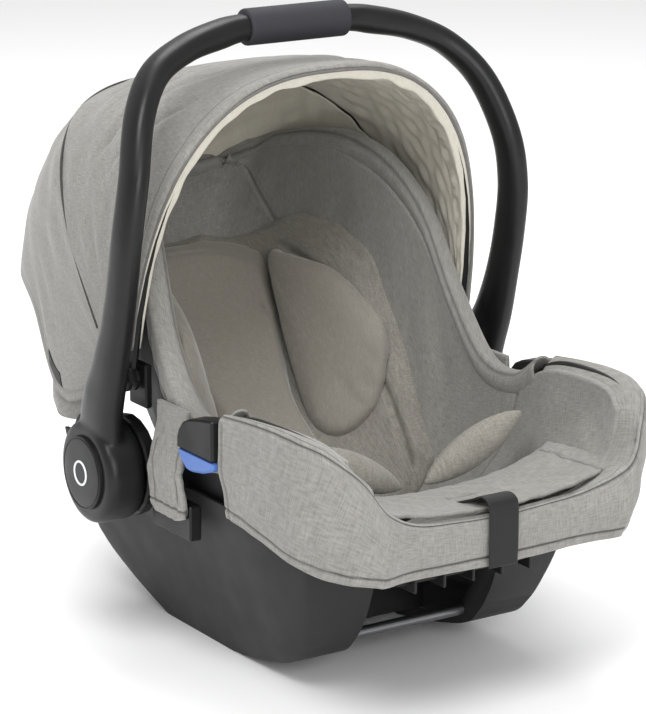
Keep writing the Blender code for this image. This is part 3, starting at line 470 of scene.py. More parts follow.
# Brushed polyester knit of the newborn insert: smoother and a shade darker than the weave.
INSERT_KNIT = woven("brushed_polyester_knit", "#97938b", "#88847b", 0.25, 0.7, "object", 0.12, 0.45)
# Cream polyester taffeta that lines the canopy: smooth, thin and slightly shiny.
LINING = woven("cream_polyester_taffeta", "#d0ccc0", "#c2beb1", 0.2, 0.8, "cloth", 0.12, 0.15)
# Twisted thread sunk into the seams, seen as a dark line.
SEAM_THREAD = woven("dark_twisted_thread", "#4a4946", "#3a3937", 0.2, 0.5, "object", 0.3)
# Knitted binding tape round the canopy's rim, matt; its charcoal tone is partly the tape's own colour and
# partly painted shade for the shadowed rim edge.
RIM_BINDING_AND_PAINTED_SHADE = woven("charcoal_binding_tape_and_painted_rim_shade", "#757370", "#62605d", 0.2, 0.7, "object", 0.3)
# Glass-filled nylon of the handle: satin black with a soft, wide shine.
HANDLE_PLASTIC = moulded("satin_black_nylon", "#131314", 0.36, 0.35, 0.10, shine=0.32)
# Polypropylene of the skirts: charcoal with a fine spark-eroded grain.
SHELL_PLASTIC = moulded("spark_eroded_charcoal_polypropylene", "#272727", 0.60, 0.6, 0.25, shine=0.3)
# Plain black polypropylene of the brackets, guides and hooks.
BLACK_PLASTIC = moulded("black_polypropylene", "#121213", 0.42, 0.5, 0.12, shine=0.3)
# Soft-touch elastomer over the grip and on the buttons.
SLATE_RUBBER = moulded("soft_touch_slate_elastomer", "#2f2f34", 0.7, 0.5, 0.2, shine=0.3)
# Blue polypropylene that marks the lap belt's path.
BLUE_PLASTIC = moulded("blue_polypropylene", "#4a6cae", 0.4, 0.5, 0.08)
# Red polypropylene of the buckle's button.
RED_PLASTIC = moulded("red_polypropylene", "#a32222", 0.38, 0.5, 0.08)
# Pale pad print of the plain marks on the hub caps.
PALE_PRINT = moulded("pale_pad_print", "#dcdde2", 0.5, 0.5, 0.03)
# Black polyester webbing of the harness.
BLACK_WEBBING = webbing("black_polyester_webbing", "#161517", 1.3)
# Zinc-plated steel of the latch bars, pins and hooks.
STEEL = plated_steel("zinc_plated_steel", "#8d8d90", 0.38)


# ---- the bucket and its covers --------------------------------------------------------------
def shell_point(u, v, height):
    """Point over the shell's inner face: u runs 0 to 13 from head to foot, v from -1 to 1 across.

    A section leaves the middle line level and climbs to the rim upright: across goes as
    sin^0.75 and up as (1 - cos)^1.25 of a quarter turn times v. Height is along the normal.
    """
    u, v, height = np.broadcast_arrays(*(np.asarray(k, float) for k in (u, v, height)))

    def surface(uu, vv):
        row = through(SHELL_SECTIONS, np.clip(uu, 0, 13))
        turn = np.abs(vv) * math.pi / 2
        across, up = np.sin(turn) ** 0.75, (1 - np.cos(turn)) ** 1.25
        return np.stack([np.sign(vv) * row[..., 2] * across,
                         row[..., 0] + (row[..., 3] - row[..., 0]) * up,
                         row[..., 1] + (row[..., 4] - row[..., 1]) * up], axis=-1)

    step = 0.02
    along = surface(np.clip(u + step, 0, 13), v) - surface(np.clip(u - step, 0, 13), v)
    over = surface(u, np.clip(v + step, -1, 1)) - surface(u, np.clip(v - step, -1, 1))
    return surface(u, v) + unit(np.cross(along, over)) * height[..., None]


def groove(distance, width):
    """How deep a point lies in a seam: 1 on its line, falling off as a bell of that width."""
    return np.exp(-(distance / width) ** 2)


def ripple(a, b, seed, waves=5, low=3.0, high=9.0):
    """Slow uneven waves over two parameters, between about -1 and 1, the same for each seed."""
    draw = np.random.default_rng(seed)
    total = np.zeros(np.broadcast(a, b).shape)
    for _ in range(waves):
        ka, kb = draw.uniform(low, high, 2) * draw.choice((-1, 1), 2)
        total += np.sin(ka * a + kb * b + draw.uniform(0, math.tau))
    return total / waves ** 0.7


def seat_shell():
    """Moulded bucket: the shell surface and its wall, with shallow ribs along its underside."""
    u, v = np.meshgrid(np.linspace(0, 13, 150), np.linspace(-1, 1, 120), indexing="ij")
    ribs = groove(np.abs(v) - 0.45, 0.02) + groove(np.abs(v) - 0.16, 0.02)
    outside = shell_point(u, v, -SHELL_WALL - 0.0015 * ribs)
    inside = shell_point(u, v, 0.0)
    made = sheet_body("moulded_bucket", inside, SHELL_PLASTIC, np.linalg.norm(inside - outside, axis=-1))
    on_body(made, "carrier", "dark_shell_plastic", "seat_shell")


def seat_cover():
    """Woven cover inside the bucket: the shell's surface raised by its padding, with seams."""
    u, v = np.meshgrid(np.linspace(0.05, 12.9, 260), np.linspace(-0.975, 0.975, 200), indexing="ij")
    side_seam = groove((u - (8.6 + 1.4 * (np.abs(v) - 0.55))) / 7, 0.006) * (np.abs(v) > 0.42)
    head_seam = groove(np.abs(v) - (0.80 - 0.05 * u), 0.008) * (u < 5.2) * (u > 0.3)
    floor_seam = groove(np.abs(v) - 0.46, 0.010) * (u > 9.8) * (u < 12.2)
    floor_seam = np.maximum(floor_seam, groove((u - 9.8) / 8, 0.008) * (np.abs(v) < 0.46))
    seams = np.clip(side_seam * 0.3 + head_seam * 0.25 + floor_seam * 0.8, 0, 1)
    soft = ripple(u * 0.9, v * 3.0, 3) * 0.0012 * np.clip((0.97 - np.abs(v)) * 6, 0, 1)
    raised = COVER_HIGH + soft - 0.0022 * np.clip(side_seam + head_seam + floor_seam, 0, 1)
    made = sheet_body("woven_seat_cover", shell_point(u, v, raised), COVER_CLOTH, 0.0075, seams * 0.75)
    on_body(made, "carrier", "grey_fabric", "seat_cover")


def eased(field, span=4):
    """Vectors along a line, each averaged with the span before it and after it."""
    wide = np.concatenate([np.repeat(field[:1], span, axis=0), field, np.repeat(field[-1:], span, axis=0)])
    kernel = np.ones(2 * span + 1) / (2 * span + 1)
    return np.stack([np.convolve(wide[:, k], kernel, "valid") for k in range(3)], axis=1)


def rim_roll():
    """Cover rolled over the bucket's rim from one belt guide round the head end to the other.

    A fixed section of (past the edge, towards the seat) is carried along the rim. The path runs up
    one side, turns the corner at section 0.4 and share 0.80, and crosses the head end.
    """
    turn_u, turn_v = 0.4, 0.80
    side_u = np.linspace(9.75, turn_u, 170)
    corner = np.linspace(0, 1, 24)[1:]
    across = np.linspace(turn_v, -turn_v, 90)[1:-1]
    path_u = np.r_[side_u, turn_u * (1 - corner), np.zeros(len(across)), turn_u * corner[:-1], side_u[::-1]]
    path_v = np.r_[np.ones(len(side_u)), 1 - (1 - turn_v) * corner, across,
                   -(turn_v + (1 - turn_v) * corner[:-1]), -np.ones(len(side_u))]
    inner_u = np.where(path_u < turn_u, path_u + 0.35 * (1 - path_u / turn_u), path_u)
    inner_v = path_v * np.where(path_u < turn_u, 1 - 0.10 * (path_u / turn_u), 0.90)
    rim = shell_point(path_u, path_v, 0.0)
    out = unit(rim - shell_point(inner_u, inner_v, 0.0))
    face = eased(unit(np.cross(out, unit(np.gradient(rim, axis=0)))))
    out = eased(out)
    section = smooth_line(np.array([
        (-0.016, 0.0085), (-0.010, 0.0125), (-0.002, 0.0142), (0.0055, 0.0120), (0.0090, 0.0050),
        (0.0080, -0.0030), (0.0030, -0.0080), (-0.006, -0.0092), (-0.020, -0.0092), (-0.032, -0.0085),
        (-0.0335, -0.0066)]), 34)
    place = np.arange(len(section))[:, None]
    pucker = 0.0006 * np.sin(run_along(rim) * 260) * (place > 22)
    seam = np.clip(groove(place - 9.0, 0.9) + groove(place - 30.0, 0.9), 0, 1)
    seam = np.repeat(seam, len(rim), axis=1)
    past, up = section[:, :1], section[:, 1:]
    rise = up - seam * 0.0010 * np.sign(up) + pucker
    points = rim[None] + past[..., None] * out[None] + rise[..., None] * face[None]
    made = sheet_body("rolled_cover_rim", points, COVER_CLOTH, 0.0022, seam * 0.6)
    on_body(made, "carrier", "grey_fabric")


def foot_cover():
    """Cover hung round the foot end: hem, outer wall and a padded roll that dips to the seat.

    Every column is a line up the outer wall, then a Bezier roll from its top edge to the seat.
    """
    row = smooth_line(np.vstack([FOOT_COVER, FOOT_COVER[-2::-1] * (-1, 1, 1, 1, 1, 1, -1)]), 330)
    along = unit(np.gradient(row[:, :2], axis=0))
    inward = np.stack([along[:, 1], -along[:, 0], np.zeros(len(row))], axis=1)
    up = np.array((0.0, 0.0, 1.0))
    x, y, hem, top, tuck = row[:, :5].T
    inner = shell_point(row[:, 5], np.clip(row[:, 6], -0.94, 0.94), COVER_HIGH - 0.0015)
    start = np.stack([x, y, top - 0.016], axis=1)
    tall = np.linalg.norm(inner - start, axis=1)[:, None]
    first = start + up * np.clip(tall * 0.55, 0.010, 0.020) + inward * 0.001
    deeper = shell_point(row[:, 5] - 0.25, np.clip(row[:, 6] * 0.86, -0.94, 0.94), COVER_HIGH)
    last = inner - unit(deeper - inner) * np.clip(tall * 0.42, 0.006, 0.015)
    wall_rows, roll_rows = 60, 33
    wall = np.linspace(0, 1, wall_rows)[:, None, None]
    bottom = np.stack([x, y, hem], axis=1) + inward * tuck[:, None]
    outer = bottom + (start - bottom) * wall - inward * (tuck[:, None] * 0.25) * np.sin(math.pi * wall)
    t = np.linspace(0, 1, roll_rows + 1)[1:, None, None]
    roll = (1 - t) ** 3 * start + 3 * (1 - t) ** 2 * t * first + 3 * (1 - t) * t * t * last + t ** 3 * inner
    points = np.concatenate([outer, roll])
    run = run_along(row[:, :3])[None]
    height = points[..., 2]
    place = np.arange(len(points))[:, None]
    hem_seam = groove(height - hem[None] - 0.0085, 0.0011)
    top_seam = groove(place - (wall_rows + 4.0), 0.9) * np.ones_like(run)
    edge = np.minimum(run, run[0, -1] - run)
    rear_seam = groove(edge - 0.0050, 0.0011) * (place < wall_rows)
    hang = np.clip((top[None] - height) / 0.06, 0, 1)
    soft = (ripple(run * 9, height * 20, 11) * 0.0010 + ripple(run * 30, height * 12, 12) * 0.0005) * hang
    seams = np.clip(hem_seam + top_seam + rear_seam, 0, 1)
    inset = 0.0016 * seams + 0.0020 - soft
    belly = 0.0025 * np.sin(math.pi * np.clip((height - hem[None]) / (top - hem)[None], 0, 1))
    points = points + inward[None] * ((inset - belly) * (place < wall_rows + 10))[..., None]
    made = sheet_body("woven_foot_cover", points, COVER_CLOTH, 0.0040, seams * 0.8)
    on_body(made, "carrier", "grey_fabric", "foot_cover")


def side_flaps():
    """Flaps between hub and belt guide: a grid of levels by distance, with a stitched turned hem."""
    for word, side in SIDES:
        s, t = np.meshgrid(np.linspace(0, 6, 90), np.linspace(0, 1, 60), indexing="ij")
        level = through(SIDE_FLAP, s)
        z, front, rear, x = (level[..., k] for k in range(4))
        y = rear + (front - rear) * t
        z = z + 0.0045 * (np.abs(2 * t - 1) ** 6) * np.clip(s - 4.5, 0, 1)
        rise = z - SIDE_FLAP[-1, 0]
        hem_line = groove(rise - 0.0100, 0.0010) * (s > 3)
        edge = 0.025 - np.abs(t - 0.5) * np.abs(rear - front)
        sides = groove(edge - 0.0055, 0.0010) * (s > 1.5) * (rise > 0.008)
        seams = np.clip(hem_line + sides * 0.8, 0, 1)
        x = x + 0.0052 + 0.0008 * ripple(y * 60, z * 40, 21) * np.clip(s, 0, 1) - 0.0012 * seams
        points = np.stack([side * x, y, z], axis=-1)
        order = int(side)
        made = sheet_body("woven_side_flap_" + word, points[:, ::order], COVER_CLOTH, -0.0040,
                          seams[:, ::order] * 0.8)
        on_body(made, "carrier", "grey_fabric", "side_flap_" + word)


def head_cover():
    """Fabric wall under the canopy round the head end: a straight fall to its hem, with a belly."""
    row = smooth_line(np.vstack([HEAD_COVER, HEAD_COVER[-2::-1] * (-1, 1, 1, 1, -1)]), 200)
    top = shell_point(row[:, 3], row[:, 4], -0.0115)
    low = row[:, :3]
    share = np.linspace(0, 1, 40)[:, None, None]
    out = unit(np.stack([low[:, 0], low[:, 1] - 0.05, np.zeros(len(low))], axis=1))
    points = top + (low - top) * share + out * 0.006 * np.sin(math.pi * share)
    run = np.linspace(0, 1, len(low))[None] * 0.75
    hem = groove((share[..., 0] - 0.93) * 0.15, 0.0014) * np.ones_like(run)
    points = points + out * (0.0007 * ripple(run * 22, share[..., 0] * 4, 71) - 0.0010 * hem)[..., None]
    made = sheet_body("woven_head_cover", points, COVER_CLOTH, 0.0032, hem * 0.7)
    on_body(made, "carrier", "grey_fabric", "head_cover")


def floor_pad():
    """Padded floor of the cover at the foot end, over the adjuster: level, rising to both sides."""
    s, t = np.meshgrid(np.linspace(0, 1, 80), np.linspace(-1, 1, 120), indexing="ij")
    x = 0.131 * t
    y = -0.192 - 0.107 * s - 0.010 * (1 - s) * (1 - t ** 2)
    base = np.interp(s, [0, 0.08, 0.3, 0.6, 0.85, 1], [0.160, 0.1705, 0.1740, 0.1755, 0.1780, 0.1800])
    z = base + 0.0190 * np.abs(t) ** 2.6
    slit = groove(y + 0.2500, 0.0022) * np.clip((0.0175 - np.abs(x)) / 0.002, 0, 1)
    corner = groove(np.abs(x) - (0.118 - 0.004 * s), 0.0012) * (s > 0.1)
    z = z + 0.0007 * ripple(x * 45, y * 40, 81) - 0.0035 * slit - 0.0016 * corner
    points = np.stack([x, y, z], axis=-1)
    seams = np.clip(slit + corner * 0.8, 0, 1)
    made = sheet_body("floor_pad", points[:, ::-1], COVER_CLOTH, 0.0030, seams[:, ::-1])
    on_body(made, "carrier", "grey_fabric")


# ---- sewn pads ------------------------------------------------------------------------------
def plump(made, voxel, cap, pressure=4.0):
    """Blow a closed cover up as cloth: remesh, 20 frames under pressure, and cap the movement."""
    remesh = made.modifiers.new("even_faces", "REMESH")
    remesh.mode = "VOXEL"
    remesh.voxel_size = voxel
    remesh.use_smooth_shade = True
    settled(made)
    count = len(made.data.vertices)
    before = np.zeros(count * 3)
    made.data.vertices.foreach_get("co", before)
    scene = bpy.context.scene
    scene.frame_set(1)
    cloth = made.modifiers.new("blown_up", "CLOTH")
    cloth.settings.use_pressure = True
    cloth.settings.uniform_pressure_force = pressure
    cloth.settings.effector_weights.gravity = 0.0
    cloth.settings.quality = 4
    cloth.point_cache.frame_start, cloth.point_cache.frame_end = 1, 20
    for step in range(1, 21):
        scene.frame_set(step)
        bpy.context.view_layer.update()
    graph = bpy.context.evaluated_depsgraph_get()
    after = np.zeros(count * 3)
    made.evaluated_get(graph).data.vertices.foreach_get("co", after)
    made.modifiers.clear()
    scene.frame_set(1)
    moved = (after - before).reshape(-1, 3)
    far = np.linalg.norm(moved, axis=1, keepdims=True)
    moved *= np.minimum(1.0, cap / np.maximum(far, 1e-9))
    made.data.vertices.foreach_set("co", (before + moved.ravel()).astype(np.float32))
    finer = made.modifiers.new("smoothed", "SUBSURF")
    finer.levels = finer.render_levels = 1
    settled(made)
    made.data.shade_smooth()
    return made


def pad_points(made):
    """Points of a pad's mesh as rows of x, y, z."""
    co = np.zeros(len(made.data.vertices) * 3)
    made.data.vertices.foreach_get("co", co)
    return co.reshape(-1, 3)


def sew(made, lines, width, depth, mark=0.7):
    """Pull a seam into a pad along lines of points, and mark its thread for the material."""
    co = pad_points(made)
    normal = np.zeros(len(co) * 3)
    made.data.vertices.foreach_get("normal", normal)
    normal = normal.reshape(-1, 3)
    near = np.full(len(co), 1.0)
    for line in lines:
        for start in range(0, len(line), 40):
            gap = np.linalg.norm(co[:, None] - line[None, start:start + 40], axis=2).min(axis=1)
            near = np.minimum(near, gap)
    sunk = groove(near, width)
    co -= normal * (depth * sunk)[:, None]
    made.data.vertices.foreach_set("co", co.astype(np.float32).ravel())
    line = made.data.attributes.new("seam", "FLOAT", "POINT")
    line.data.foreach_set("value", (groove(near, width * 0.35) * mark).astype(np.float32))
    return made


def pad_body(name, u, v, base, high, finish):
    """Closed pad over the shell from height base to height high, given as grids."""
    over = shell_point(u, v, high)
    under = shell_point(u, v, base)
    made = sheet_body(name, over, finish, 0.0)
    co = np.concatenate([over.reshape(-1, 3), under.reshape(-1, 3)])
    made.data.vertices.foreach_set("co", co.astype(np.float32).ravel())
    return outwards(made)


def dome(s, t, edge, power=4.0):
    """Share of the full height over a pad, from edge at its border to 1 in its middle."""
    return edge + (1 - edge) * np.sqrt(np.clip((1 - np.abs(s) ** power) * (1 - np.abs(t) ** power), 0, 1))


def edge_at(line, u):
    """Share of the width of a pad's edge at places along the seat, eased between its points."""
    fine = smooth_line(line, 200)
    return np.interp(u, fine[:, 0], fine[:, 1])


def laid_pad(name, left, right, low, high, edge, power, cap):
    """Plump pad between two edge lines, from height low to height high over the shell."""
    s, t = np.meshgrid(np.linspace(-1, 1, 100), np.linspace(-1, 1, 70), indexing="ij")
    first, last = max(left[0, 0], right[0, 0]), min(left[-1, 0], right[-1, 0])
    u = (first + last) / 2 + (last - first) / 2 * s
    a, b = edge_at(left, u), edge_at(right, u)
    v = a + (b - a) * (t + 1) / 2
    top = low + 0.002 + (high - low - 0.002) * dome(s, t, edge, power)
    made = pad_body(name, u, v, np.full(u.shape, low), top, INSERT_KNIT)
    return plump(made, 0.0045, cap)


def back_pad():
    """Quilted pad down the seat's back, rounded at the head, with a sewn ring inside its edge."""
    mirror = BACK_PAD_EDGE * (1, -1)
    made = laid_pad("quilted_back_pad", mirror, BACK_PAD_EDGE, COVER_HIGH - 0.004, BACK_PAD_HIGH + 0.004,
                    0.25, 5.0, 0.005)
    # Darker copy of the cover weave: painted shade on the seat back.
    made.data.materials[0] = PAD_WEAVE_DARKENED_FOR_SHADE
    u = np.linspace(2.0, 7.2, 200)
    v = edge_at(BACK_PAD_EDGE, u) - 0.13
    lines = [shell_point(u, hand * v, BACK_PAD_HIGH + 0.004) for hand in (-1, 1)]
    across = np.linspace(-v[0], v[0], 60)
    lines.append(shell_point(np.full(60, 2.0), across, BACK_PAD_HIGH + 0.004))
    sew(made, lines, 0.0040, 0.0055, 0.45)
    on_body(made, "carrier", "soft_grey_fabric", "back_pad")


def newborn_insert():
    """Newborn insert: a broad plump middle with an arched seam and a half-moon wing on each side."""
    made = laid_pad("newborn_insert_middle", INSERT_EDGE * (1, -1), INSERT_EDGE, INSERT_LOW - 0.003,
                    INSERT_HIGH + 0.003, 0.25, 4.0, 0.006)
    arch_v = np.linspace(-0.48, 0.48, 140)
    arch = shell_point(3.95 - 1.05 * np.cos(arch_v / 0.48 * math.pi / 2) ** 0.7, arch_v, INSERT_HIGH + 0.003)
    sew(made, [arch], 0.0034, 0.0032, 0.35)
    on_body(made, "carrier", "soft_grey_fabric", "insert_body")
    for word, side in SIDES:
        left, right = (WING_INNER, WING_OUTER) if side > 0 else (WING_OUTER * (1, -1), WING_INNER * (1, -1))
        wing = laid_pad("newborn_insert_wing_" + word, left, right, INSERT_LOW - 0.004, INSERT_HIGH + 0.004,
                        0.30, 3.0, 0.006)
        on_body(wing, "carrier", "soft_grey_fabric", "insert_wing_" + word)


def thigh_wings():
    """Two slender petals that stand in a V over the crotch strap, with a sewn edge.

    A lens: half-length long, half-width and thickness falling off as (1 - s^2)^0.8.
    """
    long, thick, wide = 0.0610, 0.0130, 0.0165
    for word, side in SIDES:
        s = np.sin(np.linspace(-math.pi / 2 + 0.10, math.pi / 2 - 0.10, 46))[:, None]
        turn = around(48)[None, :]
        body = (1 - s ** 2) ** 0.80
        local = np.stack([long * s * np.ones_like(turn), thick * body * np.sin(turn),
                          wide * body * np.cos(turn)], axis=-1)
        tip, lean = math.radians(-side * 26), math.radians(-24)
        yaw = np.array([(math.cos(tip), 0, math.sin(tip)), (0, 1, 0), (-math.sin(tip), 0, math.cos(tip))])
        tilt = np.array([(1, 0, 0), (0, math.cos(lean), -math.sin(lean)),
                         (0, math.sin(lean), math.cos(lean))])
        stand = (yaw @ tilt).T
        middle = np.array((side * 0.0640, -0.178, 0.1925))
        made = ring_body("thigh_pad_" + word, local @ stand + middle, PAD_WEAVE_DARKENED_FOR_SHADE)
        plump(made, 0.0032, 0.003)
        edge_s = np.sin(np.linspace(-math.pi / 2, math.pi / 2, 70))
        high = wide * (1 - edge_s ** 2) ** 0.80
        outline = np.concatenate([np.stack([long * edge_s, 0 * edge_s, hand * high], axis=1)
                                  for hand in (1, -1)])
        sew(made, [outline @ stand + middle], 0.0020, 0.0018, 0.5)
        on_body(made, "carrier", "soft_grey_fabric", "thigh_wing_" + word)


# ---- skirts, latch and fittings -------------------------------------------------------------
def side_panels():
    """Rocker skirts: a flared wall whose lower edge turns in to a runner, rings along Y."""
    for word, side in SIDES:
        edge = smooth_line(PANEL_EDGE, 120)
        rings = []
        for y, low in edge:
            low = max(low, 0.0)
            top = float(np.interp(y, [-0.224, -0.19, -0.13, 0.155], [0.134, 0.156, 0.165, 0.165]))
            lip = min(0.012, (top - low) * 0.4)
            nose = NOSE_TURN * max(0.0, (NOSE_START_Y - y) / (NOSE_START_Y - PANEL_EDGE[0, 0])) ** 2
            high = np.linspace(low, top, 14)
            share = (high - low) / max(top - low, 1e-6)
            swell = 0.0022 * np.sin(math.pi * share) - 0.003 * np.exp(-share * 14) - nose
            outer = np.stack([PANEL_FOOT_X + PANEL_FLARE * high + swell, np.full(14, y), high], axis=1)
            step = np.array([(outer[-1, 0] - 0.0012, y, top + 0.0006), (outer[-1, 0] - PANEL_WALL, y, top)])
            back = high[::-1][:-2]
            inner = np.stack([PANEL_FOOT_X + PANEL_FLARE * back - PANEL_WALL - nose, np.full(12, y),
                              np.maximum(back, low + lip)], axis=1)
            foot = np.array([(RUNNER_INNER_X, y, low + lip), (RUNNER_INNER_X, y, low)])
            rings.append(np.concatenate([outer, step, inner, foot]) * (side, 1, 1))
        made = ring_body("rocker_skirt_" + word, np.array(rings), SHELL_PLASTIC)
        made.data.set_sharp_from_angle(angle=math.radians(48))
        on_body(made, "carrier", "dark_shell_plastic", "side_panel_" + word)


def under_body():
    """Ribs under the bucket, the dark wall behind the bar and the runners' upright front edges."""
    floors = SHELL_SECTIONS[8:13]
    ribs = [((0, y, float(np.interp(-y, -floors[:, 0], floors[:, 1])) - 0.020), (0.150, 0.0026, 0.030))
            for y in (-0.262, -0.240, -0.160, -0.128)]
    ribs += [((x, -0.240, 0.122), (0.0026, 0.060, 0.030)) for x in (-0.060, -0.030, 0.0, 0.030, 0.060)]
    ribs.append(((0, -0.100, 0.052), (0.132, 0.0030, 0.062)))
    for k, (middle, size) in enumerate(ribs):
        rib = block_body(f"under_rib_{k}", middle, size, BLACK_PLASTIC, 0.0008)
        on_body(rib, "carrier", "black_plastic")
    z = np.linspace(0.0245, 0.126, 40)[:, None]
    front = np.interp(z, PANEL_EDGE[5::-1, 1], PANEL_EDGE[5::-1, 0])
    across, ahead = squared_off(around(40), 0.7)
    for word, side in SIDES:
        x, y = side * (0.0745 + 0.0085 * across), front + 0.0165 + 0.0155 * ahead
        rings = np.stack(np.broadcast_arrays(x, y, z), axis=-1)
        made = ring_body("runner_front_edge_" + word, rings, SHELL_PLASTIC)
        on_body(made, "carrier", "dark_shell_plastic")


def fittings():
    """Better finishes on the frame's own hard pieces, whose shapes are right as they are."""
    finishes = {
        BLACK_PLASTIC: ["belt_guide_left", "belt_guide_right", "adaptor_socket_left", "adaptor_socket_right",
                        "hub_base_left", "hub_base_right", "canopy_bracket_left", "canopy_bracket_right",
                        "canopy_rear_bow", "canopy_front_bow", "release_lever", "buckle_body"],
        BLUE_PLASTIC: ["belt_guide_insert_left", "belt_guide_insert_right"],
        SHELL_PLASTIC: ["latch_housing", "release_pocket"],
        STEEL: ["front_latch_bar", "rear_latch_bar", "latch_hooks", "canopy_pin_left", "canopy_pin_right",
                "pivot_pin_left", "pivot_pin_right", "adjuster_housing"],
        SLATE_RUBBER: ["adjuster_tab"],
        RED_PLASTIC: ["buckle_button"],
        HANDLE_PLASTIC: ["hub_cap_left", "hub_cap_right"],
        BLACK_WEBBING: ["shoulder_strap_left", "shoulder_strap_right", "buckle_strap"],
    }
    for finish, names in finishes.items():
        for name in names:
            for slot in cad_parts[name].material_slots:
                slot.material = finish


def adjuster_strap():
    """Harness strap over the foot cover: a flat webbing band along a smooth line."""
    line = smooth_line(STRAP_LINE, 90)
    clear = 0.0004
    points = np.stack([np.zeros(len(line)), line[:, 0] - clear, line[:, 1]], axis=1)
    made = strap_body("adjuster_webbing", points, 0.0150, 0.0017, BLACK_WEBBING)
    on_body(made, "carrier", "black_webbing", "adjuster_strap")


# ---- the carrying handle --------------------------------------------------------------------
def handle():
    """Bail and hubs as one moulding: superelliptic rings square to the middle line, and discs.

    The parts are merged by a fine remesh and smoothed, which leaves the fillet at each hub.
    """
    line = smooth_line(np.vstack([HANDLE_LINE, HANDLE_LINE[-2::-1] * (-1, 1, 1, 1, 1)]), 420)
    along = unit(np.gradient(line[:, :3], axis=0))
    fore = unit(np.array((0.0, 1.0, 0.0)) - along * along[:, 1:2])
    out = np.cross(along, fore)
    across, ahead = squared_off(around(64), 2 / 2.5)
    rings = (line[:, None, :3] + (across[None] * line[:, 3:4])[..., None] * out[:, None]
             + (ahead[None] * line[:, 4:5])[..., None] * fore[:, None])
    bail = ring_body("carry_handle", rings, HANDLE_PLASTIC)
    hubs = []
    profile = smooth_corner([(HUB_INNER_X, 0.0), (HUB_INNER_X, HUB_R), (HUB_OUTER_X, HUB_R),
                             (HUB_OUTER_X, 0.0)], 0.008)[1:-1]
    for word, side in SIDES:
        disc = about_pivot(side * profile[:, :1], profile[:, 1:], around(120))
        hubs.append(ring_body("hub_" + word, disc, HANDLE_PLASTIC))
    joined = join([bail] + hubs)
    remesh = joined.modifiers.new("one_moulding", "REMESH")
    remesh.mode = "VOXEL"
    remesh.voxel_size = 0.0019
    settle = joined.modifiers.new("fillets", "SMOOTH")
    settle.factor = 0.5
    settle.iterations = 14
    settled(joined)
    joined.data.shade_smooth()
    on_body(joined, "handle", "black_plastic", "handle_bail")
    half_grip = 0.052
    grip_x = np.linspace(-half_grip, half_grip, 90)
    grip_line = np.stack(np.broadcast_arrays(grip_x, *HANDLE_LINE[-1, 1:3]), axis=1)
    ends = np.clip((half_grip - np.abs(grip_x)) / 0.0025, 0, 1)
    grip = tube("soft_grip", grip_line, 0.0148 + 0.0017 * np.sqrt(1 - (1 - ends) ** 2), SLATE_RUBBER, 56)
    on_body(grip, "handle", "slate_plastic", "handle_grip")


def about_pivot(x, radius, angle):
    """Points at a distance and an angle round the handle's pivot, the angle from +Y towards +Z."""
    return np.stack(np.broadcast_arrays(x, PIVOT_Y + radius * np.cos(angle),
                                        PIVOT_Z + radius * np.sin(angle)), axis=-1)


def smooth_corner(points, radius, steps=7):
    """Profile through the points with each inner corner rounded by a quarter turn."""
    points = np.array(points, float)
    out = [points[0]]
    for before, here, after in zip(points[:-2], points[1:-1], points[2:]):
        a, b = unit(before - here), unit(after - here)
        for k in np.linspace(0, math.pi / 2, steps):
            out.append(here + a * radius * (1 - math.sin(k)) + b * radius * (1 - math.cos(k)))
    out.append(points[-1])
    return np.array(out)


def join(parts):
    """One object from several: the first takes the meshes of the rest."""
    for part in bpy.context.selected_objects:
        part.select_set(False)
    for part in parts:
        part.select_set(True)
    bpy.context.view_layer.objects.active = parts[0]
    bpy.ops.object.join()
    return parts[0]


def hub_fittings():
    """Hub caps with a turned groove, a plain pale ring on each, and the release buttons."""
    cap_radii = np.array([0.0003, 0.010, 0.020, 0.028, 0.0305, 0.0312, 0.0320, 0.0327, 0.0334, 0.0335])
    cap_face = np.array([0.2226, 0.2226, 0.2225, 0.2222, 0.2219, 0.2211, 0.2211, 0.2217, 0.2212, 0.2180])
    mark_x, mark_r = 0.22262, 0.0105
    button_x, button_r = 0.19125, HUB_R + 0.0085
    arc = np.radians(np.linspace(4, 52, 40))[:, None]
    ends = np.sqrt(np.clip(1 - np.linspace(-1, 1, 40) ** 6, 0.02, 1))[:, None]
    across, out = squared_off(around(32), 0.5)
    for word, side in SIDES:
        face = about_pivot(side * cap_face[:, None], cap_radii[:, None], around(96))
        cap = ring_body("hub_disc_" + word, face, HANDLE_PLASTIC)
        cap.data.set_sharp_from_angle(angle=math.radians(40))
        on_body(cap, "handle", "black_plastic", "hub_cap_" + word)
        ring = tube("plain_ring_mark_" + word, about_pivot(side * mark_x, mark_r, around(72)), 0.0011,
                    PALE_PRINT, 8, closed=True)
        on_body(ring, "handle", "slate_plastic")
        button = about_pivot(side * (button_x + 0.0097 * ends * across), button_r + 0.0040 * ends * out, arc)
        made = ring_body("release_button_" + word, button, SLATE_RUBBER)
        on_body(made, "handle_button_" + word, "slate_plastic", "handle_button_" + word)


# ---- the canopy -----------------------------------------------------------------------------
def hood_reach(lean):
    """Distance from the bows' axis to the circle that the canopy may fill, at a lean in degrees."""
    lean = np.radians(lean)
    off_y, off_z = HOOD_Y - PIVOT_Y, HOOD_Z - PIVOT_Z
    along = off_y * np.sin(lean) + off_z * np.cos(lean)
    return -along + np.sqrt(along ** 2 - off_y ** 2 - off_z ** 2 + HOOD_REACH ** 2)


def hood_point(lean, turn, half_width, reach, power):
    """Point of an arch in a plane leaning back from upright: cos^(2/power), sin^(2/power)."""
    across, up = squared_off(turn, 2 / power)
    across, up = across * half_width, np.abs(up) * reach
    lean = np.radians(lean)
    return np.stack([across, HOOD_Y + up * np.sin(lean), HOOD_Z + up * np.cos(lean)], axis=-1)


